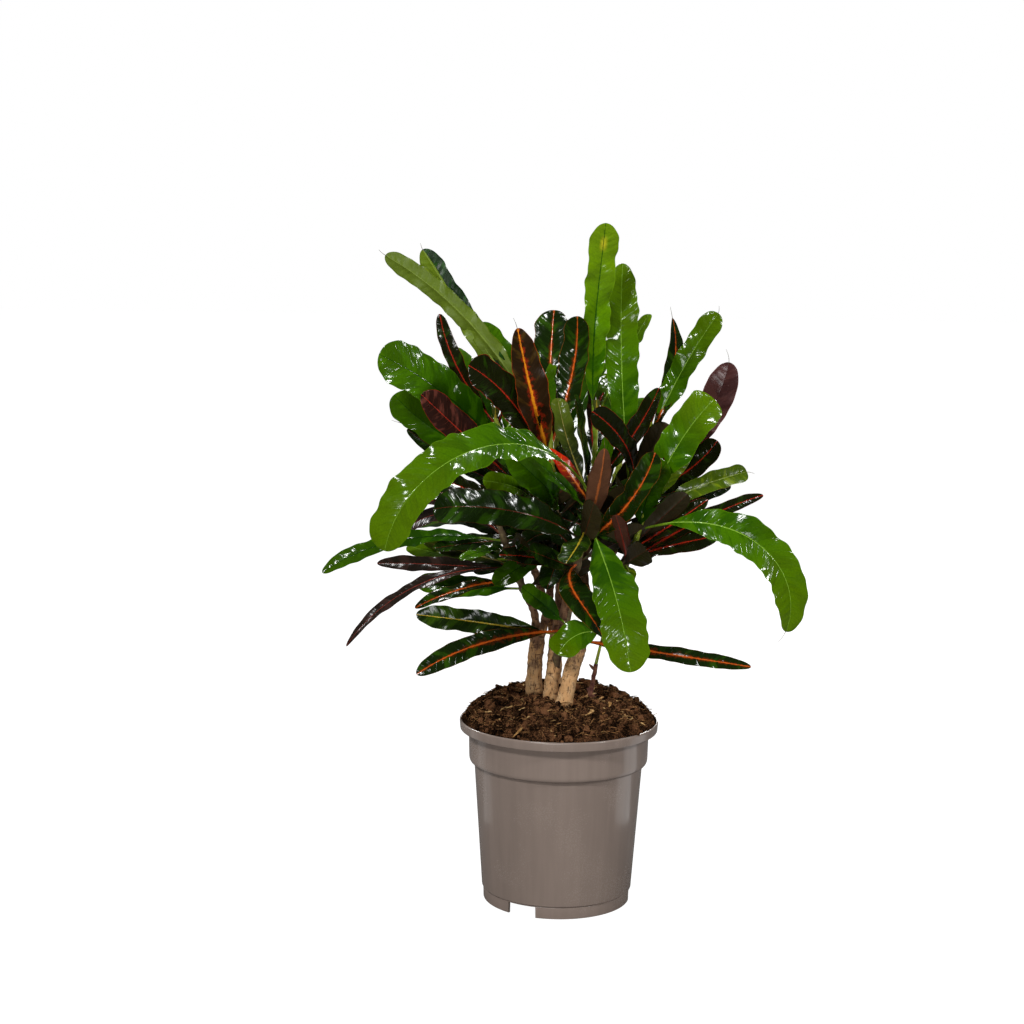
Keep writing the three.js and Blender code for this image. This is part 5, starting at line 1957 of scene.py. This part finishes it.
@dataclass(frozen=True)
class Soil:
    """The peat in the pot: a mounded top strewn with crumbs, fibres and chips.

    Lengths are in mm. crumb_size is the least radius of a crumb and how much
    the greatest is above it; the power makes most crumbs small.
    """

    pot: Pot
    edge_z: float = 150.6
    mound: float = 24.0
    mound_power: float = 4.0
    lump: float = 1.5
    rings: int = 90
    columns: int = 220
    crumbs: int = 2600
    crumb_rings: int = 5
    crumb_sides: int = 7
    crumb_size: tuple[float, float] = (0.8, 3.0)
    crumb_size_power: float = 2.6
    seed: int = 7
    slivers: tuple[Slivers, ...] = (
        Slivers(2600, (3, 16), (0.18, 0.5), 0.8, FIBRE),
        Slivers(130, (3, 12), (0.4, 1.1), 0.4, CHIP),
        Slivers(34, (9, 18), (0.9, 1.7), 0.35, CHIP),
    )

    @property
    def edge(self) -> float:
        """The radius of the peat at the rim."""
        return self.pot.rim_radius - self.pot.wall - 1.0

    def top(self, x: np.ndarray, y: np.ndarray) -> np.ndarray:
        """The height of the peat: a mound, 24 (1 - (r / edge)^4), and its lumps.

        The lumps are 1.5 (sin(0.31 x + 1.7 sin(0.17 y)) + sin(0.27 y + 0.11 x))
        as in the solid, lower towards the edge, with finer ripples on them.

        Args:
            x: Across, in mm.
            y: Front to back, in mm.

        Returns:
            The height at each place, in mm.
        """
        radius = np.hypot(x, y) / self.edge
        mound = self.edge_z + self.mound * (1 - np.clip(radius, 0, 1) ** self.mound_power)
        lump = np.sin(x * 0.31 + 1.7 * np.sin(y * 0.17)) + np.sin(y * 0.27 + x * 0.11)
        spot = np.stack([x, y, np.zeros_like(x)], -1)
        fine = 0.9 * ripples(spot, 12, self.seed) + 0.55 * ripples(spot, 4.5, self.seed + 1)
        return mound + self.lump * lump * (1 - radius) + fine * np.clip(1.15 - radius, 0.15, 1)

    def body(self) -> Surface:
        """The peat as a closed turned body with an uneven top."""
        pot, gap = self.pot, 0.6
        rim_foot = pot.height - pot.rim_depth
        floor = pot.foot_height + pot.wall + gap
        side = np.array(
            [
                (0, floor),
                (pot.body_foot_radius - pot.wall - 1, floor + 0.4),
                (pot.body_top_radius - pot.wall - gap, pot.collar_foot_z - 0.6),
                (pot.collar_foot_radius - pot.wall - gap, pot.collar_foot_z + pot.wall + 1),
                (pot.collar_top_radius - pot.wall - gap, rim_foot + pot.wall + 0.8),
                (self.edge, rim_foot + pot.wall + 1.2),
                (self.edge, self.edge_z),
            ]
        )
        radii = self.edge * (1 - np.arange(1, self.rings + 1) / self.rings)
        top = np.stack([radii, np.full(self.rings, self.edge_z)], -1)
        surface = lathe(np.vstack([side, top]), round_angles(self.columns))
        points = surface.points
        on_top = points[:, 2] >= self.edge_z - 0.01
        points[on_top, 2] = self.top(points[on_top, 0], points[on_top, 1])
        surface.share[:, 2] = -0.15
        return surface

    def scatter(self, draw: np.random.Generator, count: int, reach: float = 0.985) -> np.ndarray:
        """Random places on the peat's top, as many to each part of its area.

        Args:
            draw: The seeded generator.
            count: How many places.
            reach: The furthest radius, as a share of the edge.

        Returns:
            The places, in mm.
        """
        radius = self.edge * reach * np.sqrt(draw.uniform(0.0, 1.0, count))
        angle = draw.uniform(0, 2 * np.pi, count)
        x, y = radius * np.cos(angle), radius * np.sin(angle)
        return np.stack([x, y, self.top(x, y)], -1)

    def crumb_bits(self) -> Surface:
        """Crumbs of peat: rounded lumps whose points are pushed in and out."""
        draw = np.random.default_rng(self.seed)
        rings, sides = self.crumb_rings, self.crumb_sides
        polar = (np.pi * (np.arange(rings) + 0.5) / rings)[:, None]
        angle = round_angles(sides)
        level = np.sin(polar) * np.cos(angle), np.sin(polar) * np.sin(angle)
        ball = np.stack(np.broadcast_arrays(*level, np.cos(polar)), -1).reshape(-1, 3)
        ball = np.vstack([ball, [[0, 0, 1], [0, 0, -1]]])
        numbers = np.arange(rings * sides).reshape(rings, sides)
        closed = np.concatenate([numbers, numbers[:, :1]], 1)
        quads = grid_faces(closed)[:, ::-1]
        north = np.stack([closed[0, :-1], closed[0, 1:], np.full(sides, rings * sides)], -1)
        south = np.stack([closed[-1, 1:], closed[-1, :-1], np.full(sides, rings * sides + 1)], -1)
        triangles = np.vstack([quads[:, [0, 1, 2]], quads[:, [0, 2, 3]], north, south])
        size = draw.uniform(0, 1, self.crumbs) ** self.crumb_size_power
        size = self.crumb_size[0] + self.crumb_size[1] * size
        shapes = ball * draw.uniform(0.62, 1.25, (self.crumbs, len(ball), 1))
        shapes = shapes * draw.uniform(0.55, 1.3, (self.crumbs, 1, 3)) * size[:, None, None]
        places = self.scatter(draw, self.crumbs)
        offset = draw.uniform(-0.3, 0.8, self.crumbs)
        places[:, 2] += size * offset
        tones = np.clip(draw.normal(0.06, 0.34, self.crumbs) + 0.3 * offset, -0.35, 1)
        return copies(shapes, triangles, random_turns(draw, self.crumbs), places, tones)

    def bent_bits(self, kind: Slivers, seed: int) -> Surface:
        """Bent slivers lying on the peat: fibres, or flatter chips.

        Each is a rod with a bow, x = t l, y = bow (1 - (2 t - 1)^2) l, lying
        near level at a random heading, thinner at its ends.

        Args:
            kind: How many, how large and how flat.
            seed: The draw.

        Returns:
            All of them as one surface.
        """
        count = kind.count
        draw = np.random.default_rng(seed)
        t = np.linspace(0, 1, 7)
        path = np.stack([t - 0.5, np.zeros(7), np.zeros(7)], -1)
        round_ends = np.clip(np.sin(np.pi * (0.06 + 0.88 * t)) ** 0.6, 0.15, 1)
        base = tube(path, round_ends * 0.5, 4, squash=kind.squash, across=(0, 1, 0))
        least, most = kind.length
        long = least + (most - least) * draw.uniform(0, 1, count) ** 2
        thick = draw.uniform(*kind.radius, count)
        bow = draw.uniform(-0.35, 0.35, count)
        lift = draw.uniform(-0.1, 0.35, count)
        share = base.points[None, :, 0] + 0.5
        arc = 1 - (2 * share - 1) ** 2
        shapes = np.stack(
            [
                np.broadcast_to(base.points[None, :, 0], arc.shape) * long[:, None],
                base.points[None, :, 1] * 2 * thick[:, None] + arc * (bow * long)[:, None],
                base.points[None, :, 2] * 2 * thick[:, None] + arc * (lift * long * 0.5)[:, None],
            ],
            -1,
        )
        heading = draw.uniform(0, 2 * np.pi, count)
        pitch = draw.normal(0, 0.22, count)
        flat = level_ways(heading)
        ahead = unit(flat * np.cos(pitch)[:, None] + np.array([0, 0, 1]) * np.sin(pitch)[:, None])
        side = np.stack([-np.sin(heading), np.cos(heading), np.zeros(count)], -1)
        turns = np.stack([ahead, side, np.cross(ahead, side)], -1)
        places = self.scatter(draw, count, 0.95)
        places[:, 2] += thick * 0.6 + draw.uniform(0, 1.2, count)
        tones = np.clip(draw.normal(0.2, 0.3, count), 0, 1)
        quads, fans = base.faces
        triangles = np.vstack([quads[:, [0, 1, 2]], quads[:, [0, 2, 3]], fans])
        return copies(shapes, triangles, turns, places, tones)

    def build(self) -> None:
        """Builds the peat and what lies on it."""
        body = Piece("peat_body", "peat", ("soil",), smooth_angle=80)
        body.take(self.body(), PEAT)
        body.build()
        crumbs = Piece("peat_crumbs", "peat", smooth_angle=50)
        crumbs.take(self.crumb_bits(), PEAT)
        crumbs.build()
        bits = Piece("peat_fibres", "peat", smooth_angle=50)
        for number, kind in enumerate(self.slivers):
            bits.take(self.bent_bits(kind, self.seed + 2 + number), kind.finish)
        bits.build()


# --------------------------------------------------------------------- studio
@dataclass(frozen=True)
class Softbox:
    """A flat studio lamp: where it stands, its size in metres and its power."""

    name: str
    place: Point
    width: float
    height: float
    watts: float

    def build(self, target: Point) -> None:
        """Adds the lamp, facing the target."""
        lamp = bpy.data.lights.new(self.name, "AREA")
        lamp.shape = "RECTANGLE"
        lamp.size = self.width
        lamp.size_y = self.height
        lamp.energy = self.watts
        made = bpy.data.objects.new(self.name, lamp)
        made.visible_camera = False
        ahead = unit(np.array(target) - np.array(self.place))
        side = unit(np.cross(ahead, np.array([0.0, 0.0, 1.0]) + 0.001))
        up = np.cross(side, ahead)
        turn = np.stack([side, up, -ahead], -1)
        made.matrix_world = Matrix.Translation(self.place) @ Matrix(turn.tolist()).to_4x4()
        bpy.context.scene.collection.objects.link(made)


@dataclass(frozen=True)
class Studio:
    """The floor, the white surround, the lamps and the camera.

    Places and floor_half are in metres, pitch_down and roll in radians.
    """

    floor_half: float = 14.0
    target: Point = (0.0, 0.0, 0.3)
    camera_place: Point = (-0.04122, -1.5814, 0.5398)
    pitch_down: float = 0.1349
    roll: float = 0.0129
    focal_px: float = 1944.4
    image_px: float = 1024.0
    sensor_mm: float = 36.0
    surround: float = 0.06
    floor_grey: float = 0.1
    floor_roughness: float = 0.9
    floor_gloss: float = 0.1
    floor_glow: float = 1.0
    lamps: tuple[Softbox, ...] = (
        Softbox("key", (-0.75, -1.35, 1.45), 0.24, 0.24, 18.0),
        Softbox("side", (1.25, -0.95, 1.2), 0.18, 0.24, 11.0),
        Softbox("top", (0.1, 0.3, 1.75), 0.2, 0.2, 8.0),
        Softbox("back right", (0.8, 1.5, 1.3), 0.4, 0.4, 20.0),
        Softbox("back left", (-1.3, 1.0, 1.1), 0.4, 0.4, 14.0),
        Softbox("back fill", (0.3, 1.8, 0.25), 0.6, 0.3, 8.0),
        Softbox("fill", (-0.25, -1.75, 0.2), 0.7, 0.3, 9.0),
        Softbox("left strip", (-0.2, 0.04, 0.075), 0.06, 0.15, 0.012),
        Softbox("right strip", (0.21, 0.0, 0.075), 0.09, 0.15, 0.04),
    )

    def floor(self) -> None:
        """A wide floor that glows white to the camera, so that it melts into the surround."""
        reach = self.floor_half
        mesh = bpy.data.meshes.new("floor")
        corners = [(-reach, -reach, 0), (reach, -reach, 0), (reach, reach, 0), (-reach, reach, 0)]
        mesh.from_pydata(corners, [], [(0, 1, 2, 3)])
        material = bpy.data.materials.new("floor")
        material.use_nodes = True
        shader = material.node_tree.nodes["Principled BSDF"]
        shader.inputs["Base Color"].default_value = (*[self.floor_grey] * 3, 1)
        shader.inputs["Roughness"].default_value = self.floor_roughness
        shader.inputs["Specular IOR Level"].default_value = self.floor_gloss
        shader.inputs["Emission Color"].default_value = (1, 1, 1, 1)
        nodes = Nodes(material.node_tree)
        seen = nodes.add("ShaderNodeLightPath").outputs["Is Camera Ray"]
        nodes.feed(shader.inputs["Emission Strength"], nodes.times(seen, self.floor_glow))
        mesh.materials.append(material)
        made = bpy.data.objects.new("floor", mesh)
        bpy.context.scene.collection.objects.link(made)

    def world(self) -> None:
        """White to the camera, softer as light on the plant."""
        world = bpy.data.worlds.new("surround")
        bpy.context.scene.world = world
        world.use_nodes = True
        world.node_tree.nodes.clear()
        nodes = Nodes(world.node_tree)
        seen = nodes.add("ShaderNodeLightPath").outputs["Is Camera Ray"]
        back = nodes.add("ShaderNodeBackground")
        back.inputs["Color"].default_value = (1, 1, 1, 1)
        nodes.feed(back.inputs["Strength"], nodes.ease(seen, 0.0, 1.0, self.surround, 1.0))
        nodes.feed(nodes.add("ShaderNodeOutputWorld").inputs["Surface"], back.outputs[0])

    def camera(self) -> None:
        """The camera of the photograph: its place, tilt, roll and angle of view."""
        data = bpy.data.cameras.new("camera")
        data.sensor_width = self.sensor_mm
        data.lens = self.focal_px / self.image_px * self.sensor_mm
        made = bpy.data.objects.new("camera", data)
        tilt = Matrix.Rotation(np.pi / 2 - self.pitch_down, 4, "X")
        roll = Matrix.Rotation(self.roll, 4, "Z")
        made.matrix_world = Matrix.Translation(self.camera_place) @ tilt @ roll
        bpy.context.scene.collection.objects.link(made)
        bpy.context.scene.camera = made

    def build(self) -> None:
        """Sets the whole studio up."""
        bpy.context.scene.view_settings.view_transform = "Standard"
        self.floor()
        self.world()
        self.camera()
        for lamp in self.lamps:
            lamp.build(self.target)


def main() -> None:
    """Builds the studio and every part of the plant."""
    logging.basicConfig(level=logging.INFO, format="%(name)s: %(message)s")
    Studio().build()
    pot = Pot()
    pot.build()
    Soil(pot).build()
    TrunkMaker().build()
    ShootMaker().build()


if __name__ == "__main__":
    main()
